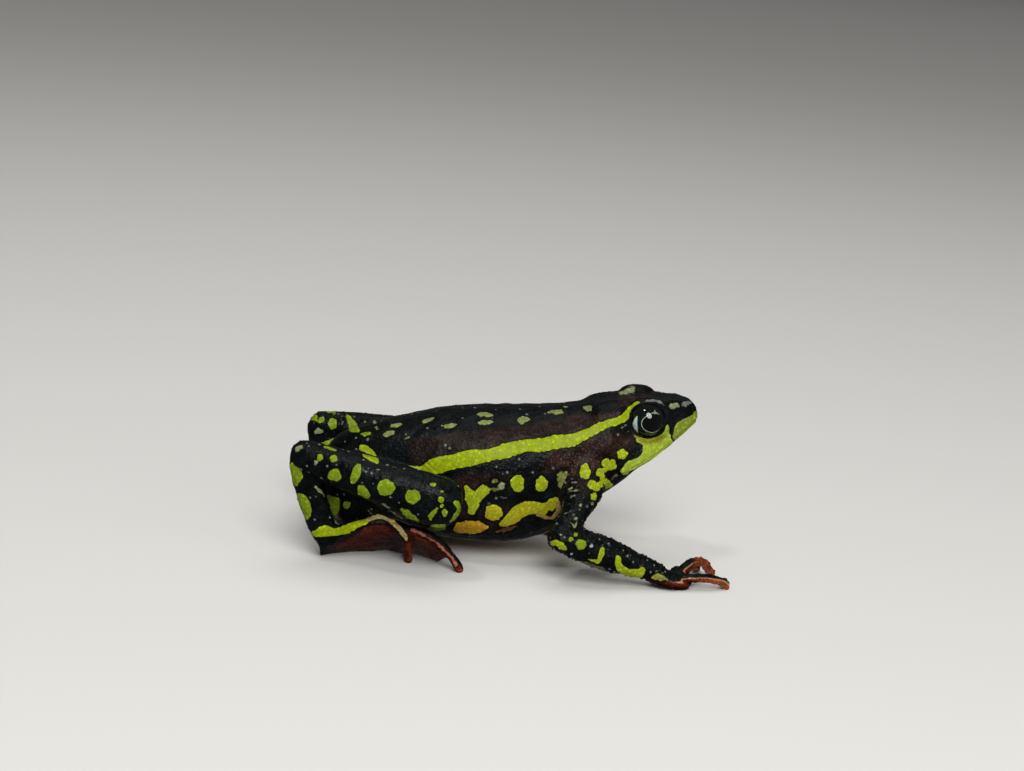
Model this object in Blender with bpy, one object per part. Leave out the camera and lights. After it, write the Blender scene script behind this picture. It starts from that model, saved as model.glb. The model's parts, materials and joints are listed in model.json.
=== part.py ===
"""Andes stubfoot toad, life size, at rest: one closed solid for each named part of its body.

The toad faces +X and stands on the plane Z = 0, with its right side towards -Y. Sizes are written in
millimetres, and MM turns them into metres where a mesh is made. The body comes from lofted sections,
the limbs from tapered tubes along a few joints, and two parts that touch are parted by a thin gap.
"""
import math

import bmesh
import bpy
from mathutils import Matrix, Vector

MM = 0.001
GAP = 0.3
FLOOR_SINK = 0.12
WELD = 0.0005

SKIN_COLOUR = (0.03, 0.03, 0.04)
SKIN_ROUGHNESS = 0.42
EYE_COLOUR = (0.01, 0.01, 0.01)
EYE_ROUGHNESS = 0.05
CREASE_ANGLE = math.radians(50.0)

# The torso, from the vent to the neck: x, lowest z, highest z and half width of each section.
TORSO_SECTIONS = [
    (-16.3, 8.5, 9.2, 0.55),
    (-15.7, 7.3, 9.9, 1.35),
    (-14.2, 5.6, 10.8, 2.5),
    (-12.2, 3.9, 11.5, 3.6),
    (-9.6, 2.4, 12.2, 4.6),
    (-6.4, 1.4, 13.1, 5.4),
    (-3.0, 1.1, 13.6, 5.8),
    (0.4, 1.2, 13.9, 5.7),
    (3.4, 2.0, 14.2, 5.2),
    (5.8, 3.5, 14.6, 4.7),
    (7.6, 5.3, 15.0, 4.35),
    (9.4, 7.0, 15.2, 4.3),
]
WIDEST_LEVEL = 0.46
TOP_ROUNDNESS = 2.25
BELLY_ROUNDNESS = 2.15
TORSO_RINGS = 27
TORSO_SIDES = 26
VENT_DOME = 0.25

# The head before it turns: x, middle of the crown, canthus (y, z), lip (y, z) and throat z.
HEAD_SECTIONS = [
    (7.0, 14.95, 3.1, 13.9, 4.25, 8.7, 5.0),
    (8.5, 15.3, 3.2, 14.3, 4.35, 9.1, 6.4),
    (9.5, 15.45, 3.15, 14.7, 4.35, 9.45, 7.2),
    (10.5, 15.55, 3.0, 15.0, 4.2, 9.95, 8.1),
    (11.5, 15.65, 2.8, 15.35, 3.95, 10.55, 9.0),
    (12.5, 15.65, 2.5, 15.45, 3.6, 11.0, 9.7),
    (13.5, 15.62, 2.1, 15.45, 3.15, 11.65, 10.4),
    (14.5, 15.62, 1.65, 15.5, 2.6, 12.3, 11.2),
    (15.5, 15.62, 1.25, 15.5, 1.95, 12.95, 12.05),
    (16.4, 15.45, 0.85, 15.3, 1.25, 13.5, 12.9),
    (17.0, 14.85, 0.5, 14.75, 0.8, 13.85, 13.45),
]
SNOUT_TIP = (17.35, 0.0, 14.2)
CROWN_FLAT = 0.6
CHEEK_HOLLOW = 0.12
CHIN_SHARE = 0.9
CHIN_DROP = 0.4
THROAT_SHARE = 0.55
THROAT_RISE = 0.16
HEAD_RINGS = 20
HEAD_SPAN_STEPS = 3
NECK_X = 8.3
HEAD_TURN = math.radians(8.0)

EYE_CENTRE = (11.87, 2.6, 14.12)
EYE_RADIUS = 1.65
EYE_GAP = 0.15
ORBIT_CENTRE = (11.95, 2.3, 14.05)
ORBIT_RADIUS = 2.2
ORBIT_STRETCH = (1.04, 0.78, 0.98)
LID_RING_RADIUS = 1.73
LID_OUT = 0.8
LID_SWELL = 0.12
LID_END_SHARE = 0.55
LID_STEPS = 7
LID_SIDES = 6
# Each lid: its first and last angle round the eye, from the front over the top, and its thickness.
LIDS = [(-8.0, 186.0, 0.28), (196.0, 342.0, 0.23)]
EYE_SIDES = 16
ORBIT_SIDES = 18
NOSTRIL = (16.45, 0.86, 15.0)
NOSTRIL_RADIUS = 0.18
NOSTRIL_SIDES = 8
MOUTH_CORNER_X = 10.0
MOUTH_TIP = (17.12, 0.0, 13.7)
MOUTH_DROP = 0.16
MOUTH_GROOVE_RADIUS = 0.17
MOUTH_GROOVE_SIDES = 5
MOUTH_STEPS = 9

# The joints of each side: the right limbs face the viewer, and the left ones stand a little apart.
RIGHT = -1.0
LEFT = 1.0
JOINTS = {
    RIGHT: {
        "shoulder": (7.0, 2.8, 9.3),
        "elbow": (4.95, 8.4, 4.3),
        "wrist": (14.0, 7.5, 1.35),
        "hip": (-14.1, 3.0, 5.9),
        "knee": (-6.1, 9.0, 7.0),
        "heel": (-18.3, 6.7, 9.6),
        "ankle": (-16.0, 6.2, 2.2),
        "foot": (-16.7, 6.2, 0.0),
    },
    LEFT: {
        "shoulder": (6.8, 2.8, 9.2),
        "elbow": (-1.0, 7.7, 8.7),
        "wrist": (1.8, 7.7, 1.4),
        "hip": (-14.1, 3.0, 5.9),
        "knee": (-5.6, 9.1, 6.7),
        "heel": (-17.6, 7.1, 8.6),
        "ankle": (-15.2, 6.4, 2.0),
        "foot": (-15.9, 6.4, 0.0),
    },
}
LIMB_SIDES = 14
TOE_SIDES = 7
DIGIT_FLATNESS = 0.9
DIGIT_RINGS = 8
DOME_RINGS = 3

# Half width across and half height of each limb, at even steps from its first joint to its second.
THIGH_SIZES = [(3.5, 2.8), (2.65, 2.7), (2.3, 2.4), (2.1, 2.1)]
SHANK_SIZES = [(1.9, 2.3), (1.95, 2.15), (1.8, 1.9), (1.6, 1.7), (1.4, 1.5)]
TARSUS_SIZES = [(1.35, 1.5), (1.2, 1.35), (1.1, 1.25), (1.0, 1.15)]
UPPER_ARM_SIZES = [(2.1, 2.0), (1.85, 1.65), (1.2, 1.3), (1.12, 1.15)]
FOREARM_SIZES = [(1.45, 1.2), (1.6, 1.42), (1.35, 1.45), (1.05, 1.1), (0.9, 0.85)]

# How far the middle of each long limb bows, and the way the hand and foot run on from the limb.
UPPER_ARM_BOW = (0.4, 0.0, 0.0)
THIGH_BOW = (0.0, 0.0, 0.15)
SHANK_BOW = (0.0, 0.5, 0.2)
TARSUS_BOW = (-0.3, 0.0, 0.0)
HAND_REACH = (2.0, 0.0, -0.4)
FOOT_REACH = (2.6, 0.0, -1.0)

# The hand, from its wrist: steps of (forward, outward, z) and the radius, and how the palm flattens.
PALM = [(-0.3, 0.0, 1.2, 0.95), (1.0, -0.1, 0.85, 1.0), (2.2, -0.3, 0.6, 0.85)]
PALM_WIDTH = 1.15
PALM_HEIGHT = 0.8
PALM_SIDES = 10
HAND_TURNS = {RIGHT: 0.0, LEFT: 19.0}
FINGERS = [
    [(1.0, -0.8, 0.7, 0.5), (1.9, -2.4, 0.9, 0.42), (2.3, -3.8, 0.4, 0.42)],
    [(1.4, -0.7, 0.8, 0.5), (3.0, -2.4, 1.3, 0.42), (3.9, -4.2, 1.0, 0.4), (4.2, -5.2, 0.4, 0.42)],
    [(1.6, -0.3, 1.0, 0.5), (2.9, -1.5, 2.0, 0.44), (4.3, -2.9, 1.8, 0.42), (5.4, -4.2, 0.4, 0.44)],
    [(1.4, 0.1, 0.9, 0.55), (3.2, 0.0, 1.2, 0.46), (4.9, -0.3, 1.15, 0.43), (5.9, -0.7, 0.8, 0.43),
     (6.4, -0.9, 0.4, 0.45)],
]

# The share of its arch that each foot keeps: the left one lies flatter.
FOOT_LIFT = {RIGHT: 1.0, LEFT: 0.72}
FLAT_Z = 0.4

# The right foot, from its ankle: its sole is a thick web that hangs from a raised outer edge down to
# an inner edge on the floor. Each row gives that outer point, the inner point and half a thickness.
FOOT_WEB = [
    ((0.0, 0.2, 2.2), (0.2, -1.2, 0.8), 0.8),
    ((1.5, 0.5, 2.9), (1.2, -2.2, 0.45), 0.65),
    ((3.4, 0.8, 3.7), (2.9, -3.0, 0.4), 0.55),
    ((5.2, 0.9, 4.2), (4.6, -3.3, 0.45), 0.5),
    ((6.9, 0.8, 3.9), (6.2, -3.2, 0.9), 0.42),
    ((8.2, 0.8, 3.4), (7.5, -2.9, 0.75), 0.36),
    ((9.5, 0.9, 3.0), (8.7, -3.1, 0.5), 0.32),
    ((10.7, 0.95, 2.4), (9.8, -2.2, 0.5), 0.3),
    ((11.6, 0.9, 1.7), (10.9, -0.6, 0.6), 0.28),
]
TOES = [
    [(3.2, -2.2, 0.95, 0.42), (4.4, -3.7, 0.4, 0.42)],
    [(4.6, -2.4, 1.1, 0.4), (6.2, -3.8, 0.7, 0.42), (7.2, -4.8, 0.4, 0.4)],
    [(5.8, -1.8, 1.85, 0.4), (7.9, -2.8, 1.6, 0.45), (9.5, -3.6, 0.4, 0.42)],
    [(6.2, 0.5, 3.6, 0.42), (8.3, 0.9, 3.7, 0.48), (9.6, 1.0, 3.5, 0.48), (11.0, 1.0, 2.6, 0.46),
     (12.2, 0.9, 1.3, 0.44), (12.8, 0.85, 0.4, 0.45)],
    [(5.4, 0.8, 4.1, 0.44), (6.9, 0.7, 3.8, 0.46), (7.7, 0.3, 2.9, 0.46), (8.05, -0.2, 1.7, 0.45),
     (8.2, -0.8, 0.4, 0.45)],
]
WEB_RINGS = 15
WEB_SIDES = 10


def clear_scene():
    for old in list(bpy.data.objects):
        bpy.data.objects.remove(old)


def between(rows, count):
    """Count rows read off a smooth curve through the given rows of numbers."""
    last = len(rows) - 1
    picked = []
    for step in range(count):
        place = last * step / (count - 1)
        index = min(int(place), last - 1)
        t = place - index
        before = rows[max(index - 1, 0)]
        start = rows[index]
        end = rows[index + 1]
        after = rows[min(index + 2, last)]
        picked.append([catmull(a, b, c, d, t) for a, b, c, d in zip(before, start, end, after)])
    return picked


def catmull(a, b, c, d, t):
    """The Catmull-Rom curve from b to c."""
    return 0.5 * (2 * b + (c - a) * t + (2 * a - 5 * b + 4 * c - d) * t * t
                  + (3 * b - a - 3 * c + d) * t ** 3)


def closed_curve(points, steps):
    """A closed smooth ring through the points, with the given steps in each span."""
    total = len(points)
    ring = []
    for index in range(total):
        a, b, c, d = (points[(index + k) % total] for k in (-1, 0, 1, 2))
        for step in range(steps):
            t = step / steps
            ring.append(tuple(catmull(a[k], b[k], c[k], d[k], t) for k in range(len(b))))
    return ring


def loft(rings, start_tip, end_tip):
    """A closed mesh through the rings, closed at both ends on a point."""
    mesh = bmesh.new()
    rows = [[mesh.verts.new(Vector(point) * MM) for point in ring] for ring in rings]
    sides = len(rings[0])
    for near, far in zip(rows, rows[1:]):
        for k in range(sides):
            mesh.faces.new((near[k], near[(k + 1) % sides], far[(k + 1) % sides], far[k]))
    for row, tip, turn in ((rows[0], start_tip, 1), (rows[-1], end_tip, -1)):
        point = mesh.verts.new(Vector(tip) * MM)
        for k in range(sides):
            corners = (row[(k + 1) % sides], row[k], point)
            mesh.faces.new(corners[::turn])
    bmesh.ops.triangulate(mesh, faces=mesh.faces)
    bmesh.ops.recalc_face_normals(mesh, faces=mesh.faces)
    return mesh


def middle(ring):
    return sum((Vector(point) for point in ring), Vector()) / len(ring)


def to_object(name, mesh):
    data = bpy.data.meshes.new(name)
    mesh.to_mesh(data)
    mesh.free()
    made = bpy.data.objects.new(name, data)
    bpy.context.scene.collection.objects.link(made)
    return made


def tube(name, points, sides, side_axis, rings):
    """A tapered tube with domed ends. Each point holds x, y, z, half width and half height, and the
    width lies along side_axis."""
    rows = between(points, rings)
    centres = [Vector(row[:3]) for row in rows]
    across = Vector(side_axis)
    sections = []
    tips = []
    for index, row in enumerate(rows):
        before = centres[max(index - 1, 0)]
        after = centres[min(index + 1, rings - 1)]
        tangent = (after - before).normalized()
        wide = (across - tangent * across.dot(tangent)).normalized()
        high = tangent.cross(wide)
        sections.append((centres[index], wide, high, row[3], row[4]))
        if index in (0, rings - 1):
            outward = -tangent if index == 0 else tangent
            reach = (row[3] + row[4]) / 2
            domes = []
            for step in range(1, DOME_RINGS + 1):
                angle = math.pi / 2 * step / (DOME_RINGS + 1)
                shrink = math.cos(angle)
                centre = centres[index] + outward * reach * math.sin(angle)
                domes.append((centre, wide, high, row[3] * shrink, row[4] * shrink))
            tips.append((domes, centres[index] + outward * reach))
    sections = tips[0][0][::-1] + sections + tips[1][0]
    rings_made = []
    for centre, wide, high, width, height in sections:
        ring = []
        for k in range(sides):
            angle = 2 * math.pi * k / sides
            ring.append(centre + wide * width * math.cos(angle) + high * height * math.sin(angle))
        rings_made.append(ring)
    return to_object(name, loft(rings_made, tips[0][1], tips[1][1]))


def sphere(name, centre, radius, sides, stretch=(1.0, 1.0, 1.0)):
    mesh = bmesh.new()
    place = Matrix.Translation(Vector(centre) * MM) @ Matrix.Diagonal((*stretch, 1.0))
    bmesh.ops.create_uvsphere(mesh, u_segments=sides, v_segments=sides // 2 + 2,
                              radius=radius * MM, matrix=place)
    bmesh.ops.triangulate(mesh, faces=mesh.faces)
    return to_object(name, mesh)


def boolean(target, operation, tool, solver="EXACT"):
    """Joins or cuts the target with the tool, and removes the tool."""
    step = target.modifiers.new(operation.title(), "BOOLEAN")
    step.operation = operation
    step.solver = solver
    step.object = tool
    tool.hide_render = True
    tool.display_type = "WIRE"
    bake(target)
    bpy.data.objects.remove(tool)


def bake(target):
    """Turns the target's modifiers into mesh, and keeps its largest closed surface."""
    graph = bpy.context.evaluated_depsgraph_get()
    shaped = bpy.data.meshes.new_from_object(target.evaluated_get(graph))
    target.modifiers.clear()
    old = target.data
    target.data = shaped
    bpy.data.meshes.remove(old)
    keep_largest(target)


def keep_largest(target):
    mesh = bmesh.new()
    mesh.from_mesh(target.data)
    bmesh.ops.remove_doubles(mesh, verts=mesh.verts, dist=WELD * MM)
    bmesh.ops.dissolve_degenerate(mesh, edges=mesh.edges, dist=WELD * MM)
    bmesh.ops.triangulate(mesh, faces=mesh.faces)
    waiting = set(mesh.faces)
    surfaces = []
    while waiting:
        front = [waiting.pop()]
        surface = []
        while front:
            face = front.pop()
            surface.append(face)
            for edge in face.edges:
                for other in edge.link_faces:
                    if other in waiting:
                        waiting.remove(other)
                        front.append(other)
        surfaces.append(surface)
    surfaces.sort(key=len)
    loose = [face for surface in surfaces[:-1] for face in surface]
    bmesh.ops.delete(mesh, geom=loose, context="FACES")
    mesh.to_mesh(target.data)
    mesh.free()


def plane_cut(target, point, outward):
    """Cuts away what lies beyond the plane and closes the cut with a flat face."""
    mesh = bmesh.new()
    mesh.from_mesh(target.data)
    everything = mesh.verts[:] + mesh.edges[:] + mesh.faces[:]
    bmesh.ops.bisect_plane(mesh, geom=everything, dist=WELD * MM, plane_co=Vector(point) * MM,
                           plane_no=Vector(outward), clear_outer=True)
    rim = [edge for edge in mesh.edges if edge.is_boundary]
    bmesh.ops.edgeloop_fill(mesh, edges=rim)
    bmesh.ops.triangulate(mesh, faces=mesh.faces)
    bmesh.ops.recalc_face_normals(mesh, faces=mesh.faces)
    mesh.to_mesh(target.data)
    mesh.free()
    keep_largest(target)


def part_at(first, second, pivot, first_end, second_end):
    """Parts two limbs that meet at the pivot, along the plane that halves the bend."""
    pivot = Vector(pivot)
    along_first = (Vector(first_end) - pivot).normalized()
    along_second = (Vector(second_end) - pivot).normalized()
    normal = (along_first - along_second).normalized()
    plane_cut(first, pivot + normal * GAP / 2, -normal)
    plane_cut(second, pivot - normal * GAP / 2, normal)


def torso_rings(grow):
    rings = []
    for x, low, high, half_width in between(TORSO_SECTIONS, TORSO_RINGS):
        low -= grow
        high += grow
        half_width += grow
        level = low + WIDEST_LEVEL * (high - low)
        ring = []
        for k in range(TORSO_SIDES):
            angle = 2 * math.pi * k / TORSO_SIDES
            cosine = math.cos(angle)
            sine = math.sin(angle)
            power = TOP_ROUNDNESS if sine > 0 else BELLY_ROUNDNESS
            y = half_width * math.copysign(abs(cosine) ** (2 / power), cosine)
            reach = high - level if sine > 0 else level - low
            ring.append((x, y, level + reach * math.copysign(abs(sine) ** (2 / power), sine)))
        rings.append(ring)
    return rings


def torso_solid(name, grow=0.0):
    rings = torso_rings(grow)
    rear = middle(rings[0]) - Vector((VENT_DOME + grow, 0.0, 0.0))
    return to_object(name, loft(rings, rear, middle(rings[-1])))


def head_ring(row):
    """One section of the head: crown, canthus, cheek, lip, chin and throat, and their mirror."""
    x, crown, canthus_y, canthus_z, lip_y, lip_z, throat = row
    cheek = ((canthus_y + lip_y) / 2 - CHEEK_HOLLOW, (canthus_z + lip_z) / 2)
    half = [
        (0.0, crown),
        (canthus_y * CROWN_FLAT, crown),
        (canthus_y, canthus_z),
        cheek,
        (lip_y, lip_z),
        (lip_y * CHIN_SHARE, lip_z - CHIN_DROP),
        (lip_y * THROAT_SHARE, throat + (lip_z - throat) * THROAT_RISE),
        (0.0, throat),
    ]
    other = [(-y, z) for y, z in half[-2:0:-1]]
    return [(x, y, z) for y, z in closed_curve(half + other, HEAD_SPAN_STEPS)]


def head_solid(name, grow=0.0):
    rings = [head_ring(row) for row in between(HEAD_SECTIONS, HEAD_RINGS)]
    if grow:
        rings = [[grown(point, middle(ring), grow) for point in ring] for ring in rings]
    tip = Vector(SNOUT_TIP) + Vector((grow, 0.0, 0.0))
    return to_object(name, loft(rings, middle(rings[0]), tip))


def grown(point, centre, grow):
    """The point, moved away from the centre by the given distance."""
    out = Vector(point) - centre
    return centre + out * (1 + grow / out.length)


def lip_at(x):
    """The lip's y and z at one x, between the head's sections."""
    for near, far in zip(HEAD_SECTIONS, HEAD_SECTIONS[1:]):
        if near[0] <= x <= far[0]:
            t = (x - near[0]) / (far[0] - near[0])
            return near[4] + (far[4] - near[4]) * t, near[5] + (far[5] - near[5]) * t
    return HEAD_SECTIONS[-1][4:6]


def mouth_line():
    """The line between the lips, from one corner round the snout to the other."""
    half = []
    last_x = HEAD_SECTIONS[-1][0]
    for step in range(MOUTH_STEPS):
        x = MOUTH_CORNER_X + (last_x - MOUTH_CORNER_X) * step / (MOUTH_STEPS - 1)
        y, z = lip_at(x)
        half.append((x, y, z - MOUTH_DROP))
    return half + [MOUTH_TIP] + [(x, -y, z) for x, y, z in half[::-1]]


def make_head():
    head = head_solid("head")
    for side in (RIGHT, LEFT):
        boolean(head, "UNION", make_orbit(side))
        for first, last, thick in LIDS:
            boolean(head, "UNION", make_lid(side, first, last, thick))
    for side in (RIGHT, LEFT):
        x, y, z = EYE_CENTRE
        socket = sphere("socket", (x, y * side, z), EYE_RADIUS + EYE_GAP, ORBIT_SIDES)
        boolean(head, "DIFFERENCE", socket)
        x, y, z = NOSTRIL
        boolean(head, "DIFFERENCE", sphere("nostril", (x, y * side, z), NOSTRIL_RADIUS, NOSTRIL_SIDES))
    groove = [(*point, MOUTH_GROOVE_RADIUS, MOUTH_GROOVE_RADIUS) for point in mouth_line()]
    rings = 3 * MOUTH_STEPS + 4
    boolean(head, "DIFFERENCE", tube("mouth", groove, MOUTH_GROOVE_SIDES, (0.0, 0.0, 1.0), rings))
    turn_head(head)
    return head


def make_orbit(side):
    """The low dome that carries an eye."""
    x, y, z = ORBIT_CENTRE
    return sphere("orbit", (x, y * side, z), ORBIT_RADIUS, ORBIT_SIDES, ORBIT_STRETCH)


def make_lid(side, first, last, thick):
    """One lid's thick rim, from the first angle round the eye to the last, thinner at both ends."""
    x, y, z = EYE_CENTRE
    points = []
    for step in range(LID_STEPS + 1):
        t = step / LID_STEPS
        angle = math.radians(first + (last - first) * t)
        swell = math.sin(math.pi * t)
        reach = LID_OUT + LID_SWELL * swell * math.copysign(1.0, math.sin(angle))
        radius = thick * (LID_END_SHARE + (1.0 - LID_END_SHARE) * swell)
        points.append((x + LID_RING_RADIUS * math.cos(angle), (y + reach) * side,
                       z + LID_RING_RADIUS * math.sin(angle), radius, radius))
    return tube("lid", points, LID_SIDES, (0.0, 1.0, 0.0), 2 * LID_STEPS + 1)


def turn_head(target):
    pivot = Vector((NECK_X, 0.0, 0.0)) * MM
    turn = Matrix.Rotation(HEAD_TURN, 4, "Z")
    target.data.transform(Matrix.Translation(pivot) @ turn @ Matrix.Translation(-pivot))


def make_eye(name, side):
    x, y, z = EYE_CENTRE
    eye = sphere(name, (x, y * side, z), EYE_RADIUS, EYE_SIDES)
    turn_head(eye)
    return eye


def at_joint(side, joint):
    x, y, z = JOINTS[side][joint]
    return Vector((x, y * side, z))


def limb(name, start, end, sizes, side_axis, bow=(0.0, 0.0, 0.0)):
    """A limb from start to end, bowed in its middle, with the given half widths and heights."""
    last = len(sizes) - 1
    points = []
    for index, (width, height) in enumerate(sizes):
        t = index / last
        centre = start.lerp(end, t) + Vector(bow) * math.sin(math.pi * t)
        points.append((*centre, width, height))
    return tube(name, points, LIMB_SIDES, side_axis, 3 * last + 1)


def raised(z, lift):
    """A height over the flat of the foot, with the given share of the arch."""
    return FLAT_Z + (z - FLAT_Z) * lift


def digit(name, origin, forward, outward, steps, lift=1.0):
    """A finger or toe, from steps of forward, outward, z and radius."""
    points = []
    for ahead, out, z, radius in steps:
        spot = origin + forward * ahead + outward * out
        points.append((spot.x, spot.y, raised(z, lift), radius, radius * DIGIT_FLATNESS))
    return tube(name, points, TOE_SIDES, outward, DIGIT_RINGS)


def web_solid(name, origin, forward, outward, lift):
    """The sole and web of a foot, as a loft of thin rounded slabs."""
    rings = []
    numbers = [(*outer, *inner, thick) for outer, inner, thick in FOOT_WEB]
    for row in between(numbers, WEB_RINGS):
        outer = origin + forward * row[0] + outward * row[1]
        outer.z = raised(row[2], lift)
        inner = origin + forward * row[3] + outward * row[4]
        inner.z = raised(row[5], lift)
        across = (outer - inner).normalized()
        normal = forward.cross(across).normalized()
        ring = []
        for k in range(WEB_SIDES):
            angle = 2 * math.pi * (k + 0.5) / WEB_SIDES
            edge = outer if math.cos(angle) > 0 else inner
            ring.append(edge + (across * math.cos(angle) + normal * math.sin(angle)) * row[6])
        rings.append(ring)
    ends = (middle(rings[0]), middle(rings[-1]))
    return to_object(name, loft(rings, *ends))


def stand_on_floor(target):
    """Settles the target's lowest skin into small flats at the floor."""
    plane_cut(target, (0.0, 0.0, 0.0), (0.0, 0.0, -1.0))


def lower(target, depth):
    target.data.transform(Matrix.Translation((0.0, 0.0, -depth * MM)))


def make_hand(side, name):
    wrist = at_joint(side, "wrist")
    wrist.z = 0.0
    turn = math.radians(HAND_TURNS[side])
    forward = Vector((math.cos(turn), math.sin(turn), 0.0))
    outward = Vector((-math.sin(turn), math.cos(turn), 0.0)) * side
    points = []
    for ahead, out, z, radius in PALM:
        spot = wrist + forward * ahead + outward * out
        points.append((spot.x, spot.y, z, radius * PALM_WIDTH, radius * PALM_HEIGHT))
    hand = tube(name, points, PALM_SIDES, outward, 2 * len(points) + 1)
    for steps in FINGERS:
        boolean(hand, "UNION", digit("finger", wrist, forward, outward, steps))
    lower(hand, FLOOR_SINK)
    stand_on_floor(hand)
    return hand


def make_foot(side, name):
    rear = at_joint(side, "foot")
    forward = Vector((1.0, 0.0, 0.0))
    outward = Vector((0.0, side, 0.0))
    lift = FOOT_LIFT[side]
    foot = web_solid(name, rear, forward, outward, lift)
    for steps in TOES:
        boolean(foot, "UNION", digit("toe", rear, forward, outward, steps, lift))
    lower(foot, FLOOR_SINK)
    stand_on_floor(foot)
    return foot


def make_limbs(side, word):
    """The arm and leg of one side, parted from each other and from the torso and head."""
    shoulder = at_joint(side, "shoulder")
    elbow = at_joint(side, "elbow")
    wrist = at_joint(side, "wrist")
    hip = at_joint(side, "hip")
    knee = at_joint(side, "knee")
    heel = at_joint(side, "heel")
    ankle = at_joint(side, "ankle")
    beside = (0.0, side, 0.0)
    upper_arm = limb("upper_arm_" + word, shoulder, elbow, UPPER_ARM_SIZES, (1.0, 0.0, 0.0),
                     UPPER_ARM_BOW)
    forearm = limb("forearm_" + word, elbow, wrist, FOREARM_SIZES, beside)
    hand = make_hand(side, "hand_" + word)
    thigh = limb("thigh_" + word, hip, knee, THIGH_SIZES, (0.0, 0.0, 1.0), THIGH_BOW)
    shank_bow = (SHANK_BOW[0], SHANK_BOW[1] * side, SHANK_BOW[2])
    shank = limb("shank_" + word, knee, heel, SHANK_SIZES, beside, shank_bow)
    tarsus = limb("tarsus_" + word, heel, ankle, TARSUS_SIZES, beside, TARSUS_BOW)
    foot = make_foot(side, "foot_" + word)
    part_at(upper_arm, forearm, elbow, shoulder, wrist)
    part_at(forearm, hand, wrist, elbow, wrist + Vector(HAND_REACH))
    part_at(thigh, shank, knee, hip, heel)
    part_at(shank, tarsus, heel, knee, ankle)
    part_at(tarsus, foot, ankle, heel, ankle + Vector(FOOT_REACH))
    for part in (upper_arm, thigh):
        boolean(part, "DIFFERENCE", torso_solid("torso_clearance", GAP))
    head_clearance = head_solid("head_clearance", GAP)
    turn_head(head_clearance)
    boolean(upper_arm, "DIFFERENCE", head_clearance)
    return [upper_arm, forearm, hand, thigh, shank, tarsus, foot]


def part_neck(head, torso):
    """Parts the head from the torso on an upright plane halfway through the head's turn."""
    half_turn = HEAD_TURN / 2
    normal = Vector((math.cos(half_turn), math.sin(half_turn), 0.0))
    neck = Vector((NECK_X, 0.0, 0.0))
    plane_cut(head, neck + normal * GAP / 2, -normal)
    plane_cut(torso, neck - normal * GAP / 2, normal)


def paint(target, name, colour, roughness):
    finish = bpy.data.materials.get(name)
    if finish is None:
        finish = bpy.data.materials.new(name)
        finish.use_nodes = True
        shader = finish.node_tree.nodes["Principled BSDF"]
        shader.inputs["Base Color"].default_value = (*colour, 1.0)
        shader.inputs["Roughness"].default_value = roughness
        shader.inputs["Metallic"].default_value = 0.0
    target.data.materials.clear()
    target.data.materials.append(finish)
    target.data.shade_smooth()
    target.data.set_sharp_from_angle(angle=CREASE_ANGLE)


def centre_on_origin(parts):
    """Moves the whole toad so that the middle of its plan lies over the origin."""
    lows = [min(vert.co[axis] for part in parts for vert in part.data.vertices) for axis in (0, 1)]
    highs = [max(vert.co[axis] for part in parts for vert in part.data.vertices) for axis in (0, 1)]
    shift = Vector((-(lows[0] + highs[0]) / 2, -(lows[1] + highs[1]) / 2, 0.0))
    for part in parts:
        part.data.transform(Matrix.Translation(shift))


def main():
    clear_scene()
    torso = torso_solid("torso")
    head = make_head()
    part_neck(head, torso)
    eyes = [make_eye("eye_right", RIGHT), make_eye("eye_left", LEFT)]
    limbs = make_limbs(RIGHT, "right") + make_limbs(LEFT, "left")
    for part in [torso, head] + limbs:
        paint(part, "skin", SKIN_COLOUR, SKIN_ROUGHNESS)
    for eye in eyes:
        paint(eye, "eye", EYE_COLOUR, EYE_ROUGHNESS)
    centre_on_origin([torso, head] + eyes + limbs)


main()
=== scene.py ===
"""The looks of an Andes stubfoot toad at rest, dressed over its solids.

The skin is one closed surface over the torso, head and limbs, and each eye is a piece of its own. Shapes
are worked out in the toad's own millimetres, facing +X with the right side towards -Y, and go to the
frame's metres at the end. The markings are lines, spots and patches, each placed by where it shows in the
photograph, thrown onto the skin from the camera and then carried round to the other side.
"""
import json
import math

import bmesh
import bpy
import numpy as np
from mathutils import Matrix, Vector
from mathutils.bvhtree import BVHTree
from mathutils.kdtree import KDTree

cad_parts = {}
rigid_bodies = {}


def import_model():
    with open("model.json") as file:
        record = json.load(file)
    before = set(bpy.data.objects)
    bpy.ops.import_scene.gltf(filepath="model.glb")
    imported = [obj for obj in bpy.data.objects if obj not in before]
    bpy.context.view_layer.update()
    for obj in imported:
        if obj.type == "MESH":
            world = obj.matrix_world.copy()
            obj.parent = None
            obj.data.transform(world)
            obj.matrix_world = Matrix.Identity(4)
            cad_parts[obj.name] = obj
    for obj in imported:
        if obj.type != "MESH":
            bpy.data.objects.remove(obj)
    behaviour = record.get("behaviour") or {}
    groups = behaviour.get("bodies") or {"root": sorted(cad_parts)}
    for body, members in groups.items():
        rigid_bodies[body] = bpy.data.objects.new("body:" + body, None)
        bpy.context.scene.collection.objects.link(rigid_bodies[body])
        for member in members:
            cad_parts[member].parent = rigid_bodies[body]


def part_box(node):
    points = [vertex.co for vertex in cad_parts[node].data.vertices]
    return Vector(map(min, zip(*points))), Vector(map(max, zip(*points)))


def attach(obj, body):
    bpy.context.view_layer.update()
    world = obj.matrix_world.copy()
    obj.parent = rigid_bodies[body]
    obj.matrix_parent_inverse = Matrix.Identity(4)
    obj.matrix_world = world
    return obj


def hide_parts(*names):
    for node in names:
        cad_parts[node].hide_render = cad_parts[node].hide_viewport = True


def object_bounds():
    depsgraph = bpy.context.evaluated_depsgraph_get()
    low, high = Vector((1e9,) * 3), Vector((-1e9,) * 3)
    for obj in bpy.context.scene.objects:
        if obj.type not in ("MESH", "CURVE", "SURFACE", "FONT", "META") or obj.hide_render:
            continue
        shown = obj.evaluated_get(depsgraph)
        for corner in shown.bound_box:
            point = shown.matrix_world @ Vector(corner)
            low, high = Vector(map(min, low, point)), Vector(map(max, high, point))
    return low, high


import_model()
cad_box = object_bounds()

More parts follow.
